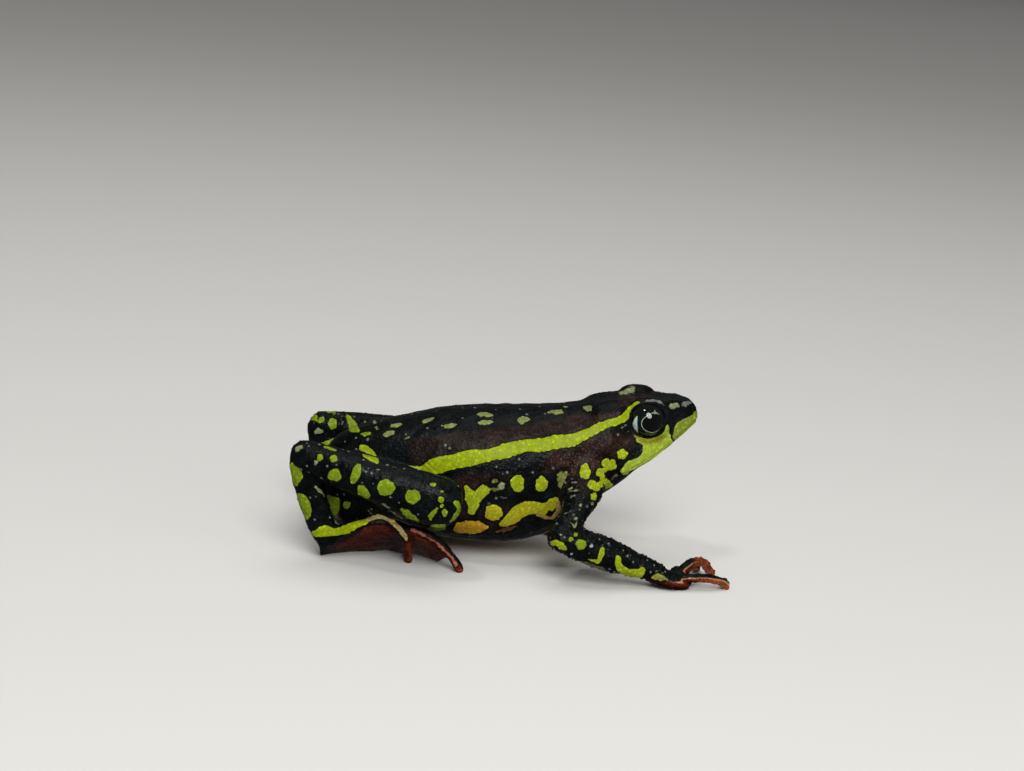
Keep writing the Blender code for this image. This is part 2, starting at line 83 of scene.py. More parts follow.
MM = 0.001
SEED = 20

# The camera: the photograph's frame, and a lens far enough away that the whole toad is nearly flat on.
PHOTO_WIDTH = 1024
PHOTO_HEIGHT = 771
PIXELS_PER_MM = 10.7
CAMERA_DISTANCE = 180.0
CAMERA_ELEVATION = math.radians(14.0)
CAMERA_AZIMUTH = math.radians(-3.0)
CAMERA_ROLL = math.radians(5.0)
ORIGIN_PX = (500.0, 549.0)
FOCAL_PX = PIXELS_PER_MM * CAMERA_DISTANCE
SENSOR_WIDTH = 36.0
CAMERA_CLIP = (0.005, 20.0)

# The torso, from the vent to the neck: x, lowest z, highest z and half width of each section.
TORSO_SECTIONS = [
    (-16.3, 8.5, 9.2, 0.55),
    (-15.7, 7.3, 9.9, 1.35),
    (-14.2, 5.6, 10.8, 2.5),
    (-12.2, 3.9, 11.5, 3.6),
    (-9.6, 2.4, 12.2, 4.6),
    (-6.4, 1.4, 13.1, 5.4),
    (-3.0, 1.1, 13.6, 5.8),
    (0.4, 1.2, 13.9, 5.7),
    (3.4, 2.0, 14.2, 5.2),
    (5.8, 3.5, 14.6, 4.7),
    (7.6, 5.3, 15.0, 4.35),
    (9.4, 7.0, 15.2, 4.3),
]
WIDEST_LEVEL = 0.46
TOP_ROUNDNESS = 2.25
BELLY_ROUNDNESS = 2.15
VENT_DOME = 0.25

# The head before it turns: x, middle of the crown, canthus (y, z), lip (y, z) and throat z.
HEAD_SECTIONS = [
    (7.0, 14.95, 3.1, 13.9, 4.25, 8.7, 5.0),
    (8.5, 15.3, 3.2, 14.3, 4.35, 9.1, 6.4),
    (9.5, 15.45, 3.15, 14.7, 4.35, 9.45, 7.2),
    (10.5, 15.55, 3.0, 15.0, 4.2, 9.95, 8.1),
    (11.5, 15.65, 2.8, 15.35, 3.95, 10.55, 9.0),
    (12.5, 15.65, 2.5, 15.45, 3.6, 11.0, 9.7),
    (13.5, 15.62, 2.1, 15.45, 3.15, 11.65, 10.4),
    (14.5, 15.62, 1.65, 15.5, 2.6, 12.3, 11.2),
    (15.5, 15.62, 1.25, 15.5, 1.95, 12.95, 12.05),
    (16.4, 15.45, 0.85, 15.3, 1.25, 13.5, 12.9),
    (17.0, 14.85, 0.5, 14.75, 0.8, 13.85, 13.45),
]
SNOUT_TIP = (17.35, 0.0, 14.2)
CROWN_FLAT = 0.6
CHEEK_HOLLOW = 0.12
CHIN_SHARE = 0.9
CHIN_DROP = 0.4
THROAT_SHARE = 0.55
THROAT_RISE = 0.16
NECK_X = 8.3
HEAD_TURN = math.radians(8.0)

EYE_CENTRE = (11.87, 2.6, 14.12)
EYE_RADIUS = 1.64
ORBIT_CENTRE = (11.95, 2.3, 14.05)
ORBIT_RADIUS = 2.2
ORBIT_STRETCH = (1.04, 0.78, 0.98)
NOSTRIL = (16.45, 0.86, 15.0)
MOUTH_CORNER_X = 10.0
MOUTH_TIP = (17.12, 0.0, 13.7)
MOUTH_DROP = 0.16

RIGHT = -1.0
LEFT = 1.0
SIDE_WORDS = {RIGHT: "right", LEFT: "left"}
PART_ORDER = ("upper_arm", "forearm", "hand", "thigh", "shank", "tarsus", "foot")
JOINTS = {
    RIGHT: {
        "shoulder": (7.0, 2.8, 9.3),
        "elbow": (4.95, 8.4, 4.3),
        "wrist": (14.0, 7.5, 1.35),
        "hip": (-14.1, 3.0, 5.9),
        "knee": (-6.1, 9.0, 7.0),
        "heel": (-18.3, 6.7, 9.6),
        "ankle": (-16.0, 6.2, 2.2),
        "foot": (-16.7, 6.2, 0.0),
    },
    LEFT: {
        "shoulder": (6.8, 2.8, 9.2),
        "elbow": (-1.0, 7.7, 8.7),
        "wrist": (1.8, 7.7, 1.4),
        "hip": (-14.1, 3.0, 5.9),
        "knee": (-5.6, 9.1, 6.7),
        "heel": (-17.6, 7.1, 8.6),
        "ankle": (-15.2, 6.4, 2.0),
        "foot": (-15.9, 6.4, 0.0),
    },
}

# The limbs: first and second joint, the way their width lies on the right side, how far they bow in the
# middle, and half width and half height at even steps. "y" and a bow's y point away from the body.
LIMBS = {
    "upper_arm": ("shoulder", "elbow", "x", (0.4, 0.0, 0.0),
                  [(2.1, 2.0), (1.85, 1.65), (1.2, 1.3), (1.12, 1.15)]),
    "forearm": ("elbow", "wrist", "y", (0.0, 0.0, 0.0),
                [(1.45, 1.2), (1.6, 1.42), (1.35, 1.45), (1.05, 1.1), (0.9, 0.85)]),
    "thigh": ("hip", "knee", "z", (0.0, 0.0, 0.15), [(3.5, 2.8), (2.65, 2.7), (2.3, 2.4), (2.1, 2.1)]),
    "shank": ("knee", "heel", "y", (0.0, 0.5, 0.2),
              [(1.9, 2.3), (1.95, 2.15), (1.8, 1.9), (1.6, 1.7), (1.4, 1.5)]),
    "tarsus": ("heel", "ankle", "y", (-0.3, 0.0, 0.0), [(1.35, 1.5), (1.2, 1.35), (1.1, 1.25), (1.0, 1.15)]),
}

# The hand, from its wrist: steps of (forward, outward, z) and the radius, and how the palm flattens.
PALM = [(-0.3, 0.0, 1.2, 0.95), (1.0, -0.1, 0.85, 1.0), (2.2, -0.3, 0.6, 0.85)]
PALM_WIDTH = 1.15
PALM_HEIGHT = 0.8
HAND_TURNS = {RIGHT: 0.0, LEFT: 19.0}
FINGERS = [
    [(1.0, -0.8, 0.7, 0.5), (1.9, -2.4, 0.9, 0.42), (2.3, -3.8, 0.4, 0.42)],
    [(1.4, -0.7, 0.8, 0.5), (3.0, -2.4, 1.3, 0.42), (3.9, -4.2, 1.0, 0.4), (4.2, -5.2, 0.4, 0.42)],
    [(1.6, -0.3, 1.0, 0.5), (2.9, -1.5, 2.0, 0.44), (4.3, -2.9, 1.8, 0.42), (5.4, -4.2, 0.4, 0.44)],
    [(1.4, 0.1, 0.9, 0.55), (3.2, 0.0, 1.2, 0.46), (4.9, -0.3, 1.15, 0.43), (5.9, -0.7, 0.8, 0.43),
     (6.4, -0.9, 0.4, 0.45)],
]
DIGIT_FLATNESS = 0.9

# The foot, from its ankle: the web's outer point, inner point and half thickness, and the toes.
FOOT_LIFT = {RIGHT: 1.0, LEFT: 0.72}
FLAT_Z = 0.4
FLOOR_SINK = 0.12
FOOT_WEB = [
    ((0.0, 0.2, 2.2), (0.2, -1.2, 0.8), 0.8),
    ((1.5, 0.5, 2.9), (1.2, -2.2, 0.45), 0.65),
    ((3.4, 0.8, 3.7), (2.9, -3.0, 0.4), 0.55),
    ((5.2, 0.9, 4.2), (4.6, -3.3, 0.45), 0.5),
    ((6.9, 0.8, 3.9), (6.2, -3.2, 0.9), 0.42),
    ((8.2, 0.8, 3.4), (7.5, -2.9, 0.75), 0.36),
    ((9.5, 0.9, 3.0), (8.7, -3.1, 0.5), 0.32),
    ((10.7, 0.95, 2.4), (9.8, -2.2, 0.5), 0.3),
    ((11.6, 0.9, 1.7), (10.9, -0.6, 0.6), 0.28),
]
TOES = [
    [(3.2, -2.2, 0.95, 0.42), (4.4, -3.7, 0.4, 0.42)],
    [(4.6, -2.4, 1.1, 0.4), (6.2, -3.8, 0.7, 0.42), (7.2, -4.8, 0.4, 0.4)],
    [(5.8, -1.8, 1.85, 0.4), (7.9, -2.8, 1.6, 0.45), (9.5, -3.6, 0.4, 0.42)],
    [(6.2, 0.5, 3.6, 0.42), (8.3, 0.9, 3.7, 0.48), (9.6, 1.0, 3.5, 0.48), (11.0, 1.0, 2.6, 0.46),
     (12.2, 0.9, 1.3, 0.44), (12.8, 0.85, 0.4, 0.45)],
    [(5.4, 0.8, 4.1, 0.44), (6.9, 0.7, 3.8, 0.46), (7.7, 0.3, 2.9, 0.46), (8.05, -0.2, 1.7, 0.45),
     (8.2, -0.8, 0.4, 0.45)],
]

# How fine the shapes are made.
VOXEL = 0.1
TORSO_RINGS = 110
TORSO_SIDES = 120
HEAD_RINGS = 80
HEAD_SPAN_STEPS = 8
ORBIT_STEPS = 40
LIMB_SIDES = 40
LIMB_SPAN_RINGS = 16
PALM_RINGS = 40
WEB_SIDES = 24
WEB_RINGS = 44
DIGIT_SIDES = 20
DIGIT_STEP_RINGS = 12
DOME_RINGS = 8


def between(rows, count):
    """Count rows read off a smooth curve through the given rows of numbers."""
    rows = np.array(rows, float)
    last = len(rows) - 1
    place = np.linspace(0, last, count)
    index = np.minimum(place.astype(int), last - 1)
    t = (place - index)[:, None]
    before = rows[np.maximum(index - 1, 0)]
    start = rows[index]
    end = rows[index + 1]
    after = rows[np.minimum(index + 2, last)]
    return catmull(before, start, end, after, t)


def catmull(a, b, c, d, t):
    """The Catmull-Rom curve from b to c."""
    return 0.5 * (2 * b + (c - a) * t + (2 * a - 5 * b + 4 * c - d) * t * t
                  + (3 * b - a - 3 * c + d) * t ** 3)


def closed_curve(points, steps):
    """A closed smooth ring through the points, with the given steps in each span."""
    points = np.array(points, float)
    a, b, c, d = (np.roll(points, shift, axis=0) for shift in (1, 0, -1, -2))
    spans = [catmull(a, b, c, d, step / steps) for step in range(steps)]
    return np.stack(spans, 1).reshape(-1, points.shape[1])


def smooth(low, high, value):
    """0 below low, 1 above high, and an even rise between."""
    t = np.clip((value - low) / (high - low), 0.0, 1.0)
    return t * t * (3 - 2 * t)


def unit(vector):
    vector = np.asarray(vector, float)
    return vector / np.linalg.norm(vector)


def loft(rings, start_tip, end_tip):
    """The points and faces of a closed form through the rings, closed at both ends on a point."""
    rings = np.asarray(rings)
    count, sides, _ = rings.shape
    points = np.vstack([rings.reshape(-1, 3), start_tip, end_tip])
    faces = []
    for ring in range(count - 1):
        for k in range(sides):
            here = ring * sides + k
            beside = ring * sides + (k + 1) % sides
            faces.append((here, beside, beside + sides, here + sides))
    start = count * sides
    last = (count - 1) * sides
    for k in range(sides):
        beside = (k + 1) % sides
        faces.append((beside, k, start))
        faces.append((last + k, last + beside, start + 1))
    return points, faces


def tube(steps, sides, side_axis, rings):
    """A tapered tube with domed ends. Each step holds x, y, z, half width and half height, and the
    width lies along side_axis."""
    rows = between(steps, rings)
    centres = rows[:, :3]
    side_axis = np.array(side_axis, float)
    tangents = np.gradient(centres, axis=0)
    tangents /= np.linalg.norm(tangents, axis=1)[:, None]
    wide = side_axis - tangents * (tangents @ side_axis)[:, None]
    wide /= np.linalg.norm(wide, axis=1)[:, None]
    high = np.cross(tangents, wide)
    sections = [(centres[k], wide[k], high[k], rows[k, 3], rows[k, 4]) for k in range(rings)]
    tips = []
    for index, sign in ((0, -1.0), (rings - 1, 1.0)):
        reach = (rows[index, 3] + rows[index, 4]) / 2
        outward = tangents[index] * sign
        domes = []
        for step in range(1, DOME_RINGS + 1):
            angle = math.pi / 2 * step / (DOME_RINGS + 1)
            shrink = math.cos(angle)
            domes.append((centres[index] + outward * reach * math.sin(angle), wide[index],
                          high[index], rows[index, 3] * shrink, rows[index, 4] * shrink))
        tips.append((domes, centres[index] + outward * reach))
    sections = tips[0][0][::-1] + sections + tips[1][0]
    angles = 2 * math.pi * np.arange(sides) / sides
    rings_made = []
    for centre, across, above, width, height in sections:
        rings_made.append(centre + np.outer(np.cos(angles) * width, across)
                          + np.outer(np.sin(angles) * height, above))
    return loft(rings_made, tips[0][1], tips[1][1])


def torso_form():
    angles = 2 * math.pi * np.arange(TORSO_SIDES) / TORSO_SIDES
    cosine = np.cos(angles)
    sine = np.sin(angles)
    power = np.where(sine > 0, TOP_ROUNDNESS, BELLY_ROUNDNESS)
    across = np.sign(cosine) * np.abs(cosine) ** (2 / power)
    upward = np.sign(sine) * np.abs(sine) ** (2 / power)
    rings = []
    for x, low, high, half_width in between(TORSO_SECTIONS, TORSO_RINGS):
        level = low + WIDEST_LEVEL * (high - low)
        reach = np.where(sine > 0, high - level, level - low)
        rings.append(np.stack([np.full(TORSO_SIDES, x), half_width * across, level + reach * upward], 1))
    rear = rings[0].mean(0) - np.array([VENT_DOME, 0.0, 0.0])
    return loft(rings, rear, rings[-1].mean(0))


def head_ring(row):
    """One section of the head: crown, canthus, cheek, lip, chin and throat, and their mirror."""
    x, crown, canthus_y, canthus_z, lip_y, lip_z, throat = row
    half = [
        (0.0, crown),
        (canthus_y * CROWN_FLAT, crown),
        (canthus_y, canthus_z),
        ((canthus_y + lip_y) / 2 - CHEEK_HOLLOW, (canthus_z + lip_z) / 2),
        (lip_y, lip_z),
        (lip_y * CHIN_SHARE, lip_z - CHIN_DROP),
        (lip_y * THROAT_SHARE, throat + (lip_z - throat) * THROAT_RISE),
        (0.0, throat),
    ]
    other = [(-y, z) for y, z in half[-2:0:-1]]
    ring = closed_curve(half + other, HEAD_SPAN_STEPS)
    return np.column_stack([np.full(len(ring), x), ring])


def head_form():
    rings = [head_ring(row) for row in between(HEAD_SECTIONS, HEAD_RINGS)]
    points, faces = loft(rings, rings[0].mean(0), SNOUT_TIP)
    return turned(points), faces


def orbit_form(side):
    """The low dome that carries an eye."""
    rings = []
    spin = 2 * math.pi * np.arange(ORBIT_STEPS) / ORBIT_STEPS
    for step in range(1, ORBIT_STEPS):
        angle = math.pi * step / ORBIT_STEPS
        rings.append(np.stack([np.sin(angle) * np.cos(spin), np.full(ORBIT_STEPS, -math.cos(angle)),
                               np.sin(angle) * np.sin(spin)], 1))
    x, y, z = ORBIT_CENTRE
    size = ORBIT_RADIUS * np.array(ORBIT_STRETCH)
    centre = np.array([x, y * side, z])
    tips = [centre + size * np.array([0.0, end, 0.0]) for end in (-1.0, 1.0)]
    points, faces = loft(centre + size * np.array(rings), *tips)
    return turned(points), faces


def turned(points, sign=1.0):
    """Head points, turned about the neck from their straight place, or back with sign -1."""
    cosine = math.cos(HEAD_TURN * sign)
    sine = math.sin(HEAD_TURN * sign)
    points = np.atleast_2d(np.asarray(points, float))
    x = points[:, 0] - NECK_X
    y = points[:, 1]
    return np.stack([NECK_X + x * cosine - y * sine, x * sine + y * cosine, points[:, 2]], 1)


def turned_way(vectors, sign=1.0):
    """The same turn for directions."""
    pivot = np.array([NECK_X, 0.0, 0.0])
    return turned(np.atleast_2d(vectors) + pivot, sign) - pivot


def at_joint(side, joint):
    x, y, z = JOINTS[side][joint]
    return np.array([x, y * side, z])


def limb_form(side, part):
    """A limb from joint to joint, bowed in its middle."""
    first, second, across, bow, sizes = LIMBS[part]
    start = at_joint(side, first)
    end = at_joint(side, second)
    bow = np.array(bow) * (1.0, side, 1.0)
    last = len(sizes) - 1
    steps = []
    for index, (width, height) in enumerate(sizes):
        t = index / last
        centre = start + (end - start) * t + bow * math.sin(math.pi * t)
        steps.append((*centre, width, height))
    way = {"x": (1.0, 0.0, 0.0), "y": (0.0, side, 0.0), "z": (0.0, 0.0, 1.0)}[across]
    return tube(steps, LIMB_SIDES, way, LIMB_SPAN_RINGS * last + 1)


def raised(z, lift):
    """A height in the foot, with what is above its flats scaled by lift."""
    return FLAT_Z + (z - FLAT_Z) * lift


def digit_form(origin, forward, outward, steps, lift=1.0):
    """A finger or toe, from steps of (forward, outward, z, radius)."""
    rows = []
    for ahead, out, z, radius in steps:
        spot = origin + forward * ahead + outward * out
        rows.append((spot[0], spot[1], raised(z, lift) - FLOOR_SINK, radius, radius * DIGIT_FLATNESS))
    return tube(rows, DIGIT_SIDES, outward, DIGIT_STEP_RINGS * len(rows) + 1)


def web_form(origin, forward, outward, lift):
    """The sole and web of a foot, as a loft of thin rounded slabs."""
    angles = 2 * math.pi * (np.arange(WEB_SIDES) + 0.5) / WEB_SIDES
    rings = []
    for row in between([(*outer, *inner, thick) for outer, inner, thick in FOOT_WEB], WEB_RINGS):
        outer = origin + forward * row[0] + outward * row[1]
        inner = origin + forward * row[3] + outward * row[4]
        outer[2] = raised(row[2], lift) - FLOOR_SINK
        inner[2] = raised(row[5], lift) - FLOOR_SINK
        across = unit(outer - inner)
        normal = unit(np.cross(forward, across))
        edge = np.where((np.cos(angles) > 0)[:, None], outer, inner)
        rings.append(edge + (np.outer(np.cos(angles), across) + np.outer(np.sin(angles), normal)) * row[6])
    return loft(rings, rings[0].mean(0), rings[-1].mean(0))


def hand_axes(side):
    """A hand's directions forward and outward."""
    turn = math.radians(HAND_TURNS[side])
    forward = np.array([math.cos(turn), math.sin(turn), 0.0])
    outward = np.array([-math.sin(turn), math.cos(turn), 0.0]) * side
    return forward, outward


def limb_forms(side):
    """The forms of one side's arm and leg, by node."""
    forward, outward = hand_axes(side)
    wrist = at_joint(side, "wrist")
    wrist[2] = 0.0
    palm = []
    for ahead, out, z, radius in PALM:
        spot = wrist + forward * ahead + outward * out
        palm.append((spot[0], spot[1], z - FLOOR_SINK, radius * PALM_WIDTH, radius * PALM_HEIGHT))
    hand = [tube(palm, LIMB_SIDES, outward, PALM_RINGS)]
    hand += [digit_form(wrist, forward, outward, steps) for steps in FINGERS]
    foot_place = (at_joint(side, "foot"), np.array([1.0, 0.0, 0.0]), np.array([0.0, side, 0.0]))
    lift = FOOT_LIFT[side]
    foot = [web_form(*foot_place, lift)] + [digit_form(*foot_place, steps, lift) for steps in TOES]
    forms = {part: [limb_form(side, part)] for part in LIMBS}
    forms.update(hand=hand, foot=foot)
    return {part + "_" + SIDE_WORDS[side]: forms[part] for part in PART_ORDER}


def all_forms():
    forms = {"torso": [torso_form()], "head": [head_form(), orbit_form(RIGHT), orbit_form(LEFT)]}
    for side in (RIGHT, LEFT):
        forms.update(limb_forms(side))
    return forms


FORMS = all_forms()
NODES = list(FORMS)
LABEL = {name: index for index, name in enumerate(NODES)}


def fused(forms):
    """All forms in one surface of small squares: its points, its faces and each point's label."""
    points = []
    faces = []
    labels = []
    start = 0
    for name, pieces in forms.items():
        for piece_points, piece_faces in pieces:
            points.append(piece_points)
            faces += [tuple(start + corner for corner in face) for face in piece_faces]
            labels += [LABEL[name]] * len(piece_faces)
            start += len(piece_points)
    points = np.vstack(points)
    mesh = bpy.data.meshes.new("forms")
    mesh.from_pydata(points.tolist(), [], faces)
    held = placed("forms", mesh)
    step = held.modifiers.new("Skin", "REMESH")
    step.mode = "VOXEL"
    step.voxel_size = VOXEL
    shaped = bpy.data.meshes.new_from_object(held.evaluated_get(bpy.context.evaluated_depsgraph_get()))
    bpy.data.objects.remove(held)
    squares = read(shaped.loops, "vertex_index", 1).reshape(-1, 4)
    skin_points, skin_faces = largest(read_points(shaped), squares)
    bpy.data.meshes.remove(shaped)
    tree = BVHTree.FromPolygons(points.tolist(), faces)
    found = [labels[tree.find_nearest(point)[2]] for point in skin_points.tolist()]
    return skin_points, skin_faces, np.array(found)


def read(items, field, size, kind=np.int32):
    """The named numbers of a mesh's points, edges or faces, in rows of the given size."""
    values = np.empty(len(items) * size, kind)
    items.foreach_get(field, values)
    return values.reshape(-1, size)


def read_points(mesh):
    return read(mesh.vertices, "co", 3, np.float32).astype(float)


def read_normals(mesh):
    return read(mesh.vertex_normals, "vector", 3, np.float32).astype(float)


def read_triangles(mesh):
    mesh.calc_loop_triangles()
    return read(mesh.loop_triangles, "vertices", 3)


def write_points(mesh, points):
    mesh.vertices.foreach_set("co", points.astype(np.float32).ravel())
    mesh.update()


def placed(name, data):
    """A new object in the scene."""
    made = bpy.data.objects.new(name, data)
    bpy.context.scene.collection.objects.link(made)
    return made


def tree_of(places):
    """The places in a tree that finds the nearest of them, by number."""
    tree = KDTree(len(places))
    for number, place in enumerate(places):
        tree.insert(place, number)
    tree.balance()
    return tree


def largest(points, faces):
    """Only the largest joined surface of the mesh."""
    mark = np.arange(len(points))
    while True:
        lowest = mark[faces].min(1)
        new = mark.copy()
        np.minimum.at(new, faces.ravel(), np.repeat(lowest, 4))
        new = new[new]
        if (new == mark).all():
            break
        mark = new
    kept = mark == np.bincount(mark).argmax()
    order = np.cumsum(kept) - 1
    return points[kept], order[faces[kept[faces[:, 0]]]]


class Links:
    """The edges of a mesh, for averaging over neighbours."""

    def __init__(self, mesh):
        self.first, self.second = read(mesh.edges, "vertices", 2).T
        self.count = len(mesh.vertices)
        self.degree = self.total(np.ones(self.count))

    def total(self, values):
        return (np.bincount(self.first, values[self.second], self.count)
                + np.bincount(self.second, values[self.first], self.count))

    def mean(self, values):
        """The mean of each point's neighbours, for one number or several a point."""
        if values.ndim == 1:
            return self.total(values) / self.degree
        return np.stack([self.total(column) / self.degree for column in values.T], 1)


# The share of the way to its neighbours' mean that a point moves in one pass.
DRAW_IN = 0.6


def relaxed(points, links, passes, share):
    """Points moved towards their neighbours' mean, by the given share in each pass."""
    for _ in range(passes):
        points = points + share * (links.mean(points) - points)
    return points


def polished(points, links, passes, share=1.0, let_out=0.63):
    """Smoothed without shrinking: each pass draws the points in, and then lets them out again."""
    for _ in range(passes):
        points = relaxed(points, links, 1, DRAW_IN * share)
        points = relaxed(points, links, 1, -let_out * share)
    return points


# How softly two parts of the body run into each other. Pairs that aren't named keep a firm crease.
SOFTNESS = {
    ("torso", "head"): 1.0,
    ("torso", "upper_arm"): 1.0,
    ("head", "upper_arm"): 1.0,
    ("upper_arm", "forearm"): 0.45,
    ("forearm", "hand"): 0.4,
    ("torso", "thigh"): 0.45,
    ("thigh", "shank"): 0.6,
    ("shank", "tarsus"): 0.5,
    ("tarsus", "foot"): 0.5,
}
FIRM = 0.12
SOFT_PASSES = 150
SPREAD_PASSES = 90
SPREAD_GAIN = 8.0
FILLET_PASSES = 40
HOLLOW_DEPTHS = (0.001, 0.006)
FIRST_POLISH = 4
LAST_POLISH = 3


def plain_name(node):
    return node.replace("_right", "").replace("_left", "")


def joint_softness(links, labels):
    """How strongly each point is smoothed, from 1 where two soft parts meet down to 0 away from it."""
    first = labels[links.first]
    second = labels[links.second]
    table = np.full((len(NODES), len(NODES)), FIRM)
    for a, one in enumerate(NODES):
        for b, other in enumerate(NODES):
            pair = (plain_name(one), plain_name(other))
            table[a, b] = SOFTNESS.get(pair, SOFTNESS.get(pair[::-1], FIRM))
    soft = np.zeros(links.count)
    meet = first != second
    for ends in (links.first[meet], links.second[meet]):
        np.maximum.at(soft, ends, table[first[meet], second[meet]])
    for _ in range(SPREAD_PASSES):
        soft = links.mean(soft)
    return np.clip(soft * SPREAD_GAIN, 0.0, 1.0)


def filleted(points, mesh, links, passes):
    """Rounds the inner corners only, such as between two toes, so that nothing thin gets thinner."""
    for _ in range(passes):
        write_points(mesh, points)
        step = links.mean(points) - points
        hollow = np.einsum("ij,ij->i", step, read_normals(mesh))
        points = points + step * (DRAW_IN * smooth(*HOLLOW_DEPTHS, hollow))[:, None]
    return points


def base_skin():
    """The smooth surface over all of the body, and each point's label."""
    points, faces, labels = fused(FORMS)
    mesh = bpy.data.meshes.new("toad_skin")
    mesh.from_pydata(points.tolist(), [], faces.tolist())
    links = Links(mesh)
    points = polished(points, links, FIRST_POLISH)
    soft = joint_softness(links, labels)
    points = relaxed(points, links, SOFT_PASSES, (DRAW_IN * soft)[:, None])
    points = filleted(points, mesh, links, FILLET_PASSES)
    points = polished(points, links, LAST_POLISH)
    write_points(mesh, points)
    return mesh, labels


# The head's surface is split finer in front of this x, where the lids, nostrils and mouth are.
FINE_HEAD_X = 9.6
FINE_POLISH = 3
FINE_LET_OUT = 0.62
FINE_SPREAD_PASSES = 4
FINE_SPREAD = (0.05, 0.4)


def with_fine_head(mesh, labels):
    """The mesh with its head's squares split in four, and the labels with the new points added."""
    work = bmesh.new()
    work.from_mesh(mesh)
    work.verts.ensure_lookup_table()
    fine = [v.co.x > FINE_HEAD_X and labels[v.index] == LABEL["head"] for v in work.verts]
    edges = [e for e in work.edges if fine[e.verts[0].index] and fine[e.verts[1].index]]
    bmesh.ops.subdivide_edges(work, edges=edges, cuts=1, use_grid_fill=True)
    work.to_mesh(mesh)
    work.free()
    added = len(mesh.vertices) - len(labels)
    labels = np.concatenate([labels, np.full(added, LABEL["head"])])
    points = read_points(mesh)
    links = Links(mesh)
    near_fine = np.zeros(len(points))
    near_fine[-added:] = 1.0
    for _ in range(FINE_SPREAD_PASSES):
        near_fine = links.mean(near_fine)
    share = smooth(*FINE_SPREAD, near_fine)[:, None]
    write_points(mesh, polished(points, links, FINE_POLISH, share, FINE_LET_OUT))
    return mesh, labels


# The opening between the lids, seen along its axis (in the straight head, for the side at +y): its
# half sizes to the front, back, top and bottom, and the way it faces.
OPENING_AXIS = unit((-0.16, 0.95, 0.2))
OPENING = {"front": 1.56, "back": 1.58, "top": 1.42, "bottom": 1.57}
LID_STAND = 0.13
LID_EDGE = math.radians(3.0)
LID_WIDTH = math.radians(15.0)
LID_FOLD_DEPTH = 0.05
LID_FOLD_WIDTH = math.radians(3.5)
LID_FOLD_END = 1.9
SOCKET_RADIUS = 1.48
SOCKET_MARGIN = 1.05
SOCKET_CLEAR = 1.8
# Where the lids' shaping ends: distances from the eye's centre, and angles from the opening's axis.
LID_REACH = (2.5, 2.9)
LID_SPREAD = (1.75, 2.1)


def eye_axes(axis):
    """Two directions square to an eye's axis: forward along the head, and up."""
    forward = unit(np.array([1.0, 0.0, 0.0]) - axis * axis[0])
    upward = np.cross(forward, axis)
    return forward, upward * math.copysign(1.0, upward[2])


def gauss(distance, width):
    """A soft hump, 1 at no distance."""
    return np.exp(-(distance / width) ** 2)


def shaped_lids(half):
    """Opens the socket round the eye and raises the lids' edges. Points are in the straight head, with
    both sides folded onto +y."""
    away = half - np.array(EYE_CENTRE)
    radius = np.linalg.norm(away, axis=1)
    way = away / radius[:, None]
    forward, upward = eye_axes(OPENING_AXIS)
    along = way @ forward
    above = way @ upward
    tilt = np.arccos(np.clip(way @ OPENING_AXIS, -1.0, 1.0))
    reach = np.maximum(np.hypot(along, above), 1e-6)
    x_share = along / reach
    z_share = above / reach
    across = np.where(along > 0, OPENING["front"], OPENING["back"])
    upright = np.where(above > 0, OPENING["top"], OPENING["bottom"])
    limit = 1.0 / np.sqrt((x_share / across) ** 2 + (z_share / upright) ** 2)
    edge = np.arcsin(np.clip(limit / EYE_RADIUS, 0.0, 0.97))
    outside = smooth(-LID_EDGE, LID_EDGE, tilt - edge)
    margin = np.minimum(radius, EYE_RADIUS + LID_STAND)
    settled = smooth(0.0, LID_WIDTH, tilt - edge)
    lid = margin + (radius - margin) * settled
    lid -= LID_FOLD_DEPTH * gauss(tilt - edge - LID_WIDTH, LID_FOLD_WIDTH) * (tilt < LID_FOLD_END)
    new_radius = SOCKET_RADIUS + (lid - SOCKET_RADIUS) * outside
    inner = radius < SOCKET_MARGIN * SOCKET_RADIUS
    new_radius = np.where(inner, np.minimum(radius, new_radius), new_radius)
    near = 1.0 - smooth(*LID_REACH, radius)
    facing = 1.0 - smooth(*LID_SPREAD, tilt)
    change = (new_radius - radius) * near * facing
    return half + way * change[:, None]


# The mouth's groove and the lips on both sides of it, and the nostril's pit and the rim round it, as
# (rise, distance from the middle, width). The mouth deepens over a short way in front of its corner.
MOUTH_GROOVE = (-0.11, 0.0, 0.075)
LIPS = (0.05, 0.21, 0.12)
MOUTH_STARTS = (-0.1, 0.9)
NOSTRIL_PIT = (-0.2, 0.0, 0.13)
NOSTRIL_RIM = (0.05, 0.24, 0.09)
NOSTRIL_STRETCH = (0.8, 1.0, 1.15)
LIP_STEPS = 9
LIP_CURVE_STEPS = 160


def lip_curve():
    """The line between the lips, from the corner of the mouth to its middle in front."""
    sections = np.array(HEAD_SECTIONS)
    x = np.linspace(MOUTH_CORNER_X, sections[-1, 0], LIP_STEPS)
    y = np.interp(x, sections[:, 0], sections[:, 4])
    z = np.interp(x, sections[:, 0], sections[:, 5]) - MOUTH_DROP
    return between(np.column_stack([x, y, z]).tolist() + [list(MOUTH_TIP)], LIP_CURVE_STEPS)


def ridge(distance, shape):
    """The rise or fall of a rounded ridge or groove at a distance from its middle line."""
    rise, middle, width = shape
    return rise * gauss(distance - middle, width)


def mouth_change(half):
    tree = tree_of(lip_curve().tolist())
    distance = np.array([tree.find(place)[2] for place in half.tolist()])
    start, full = MOUTH_STARTS
    present = smooth(MOUTH_CORNER_X + start, MOUTH_CORNER_X + full, half[:, 0])
    return (ridge(distance, MOUTH_GROOVE) + ridge(distance, LIPS)) * present


def nostril_change(half):
    distance = np.linalg.norm((half - np.array(NOSTRIL)) * np.array(NOSTRIL_STRETCH), axis=1)
    return ridge(distance, NOSTRIL_PIT) + ridge(distance, NOSTRIL_RIM)


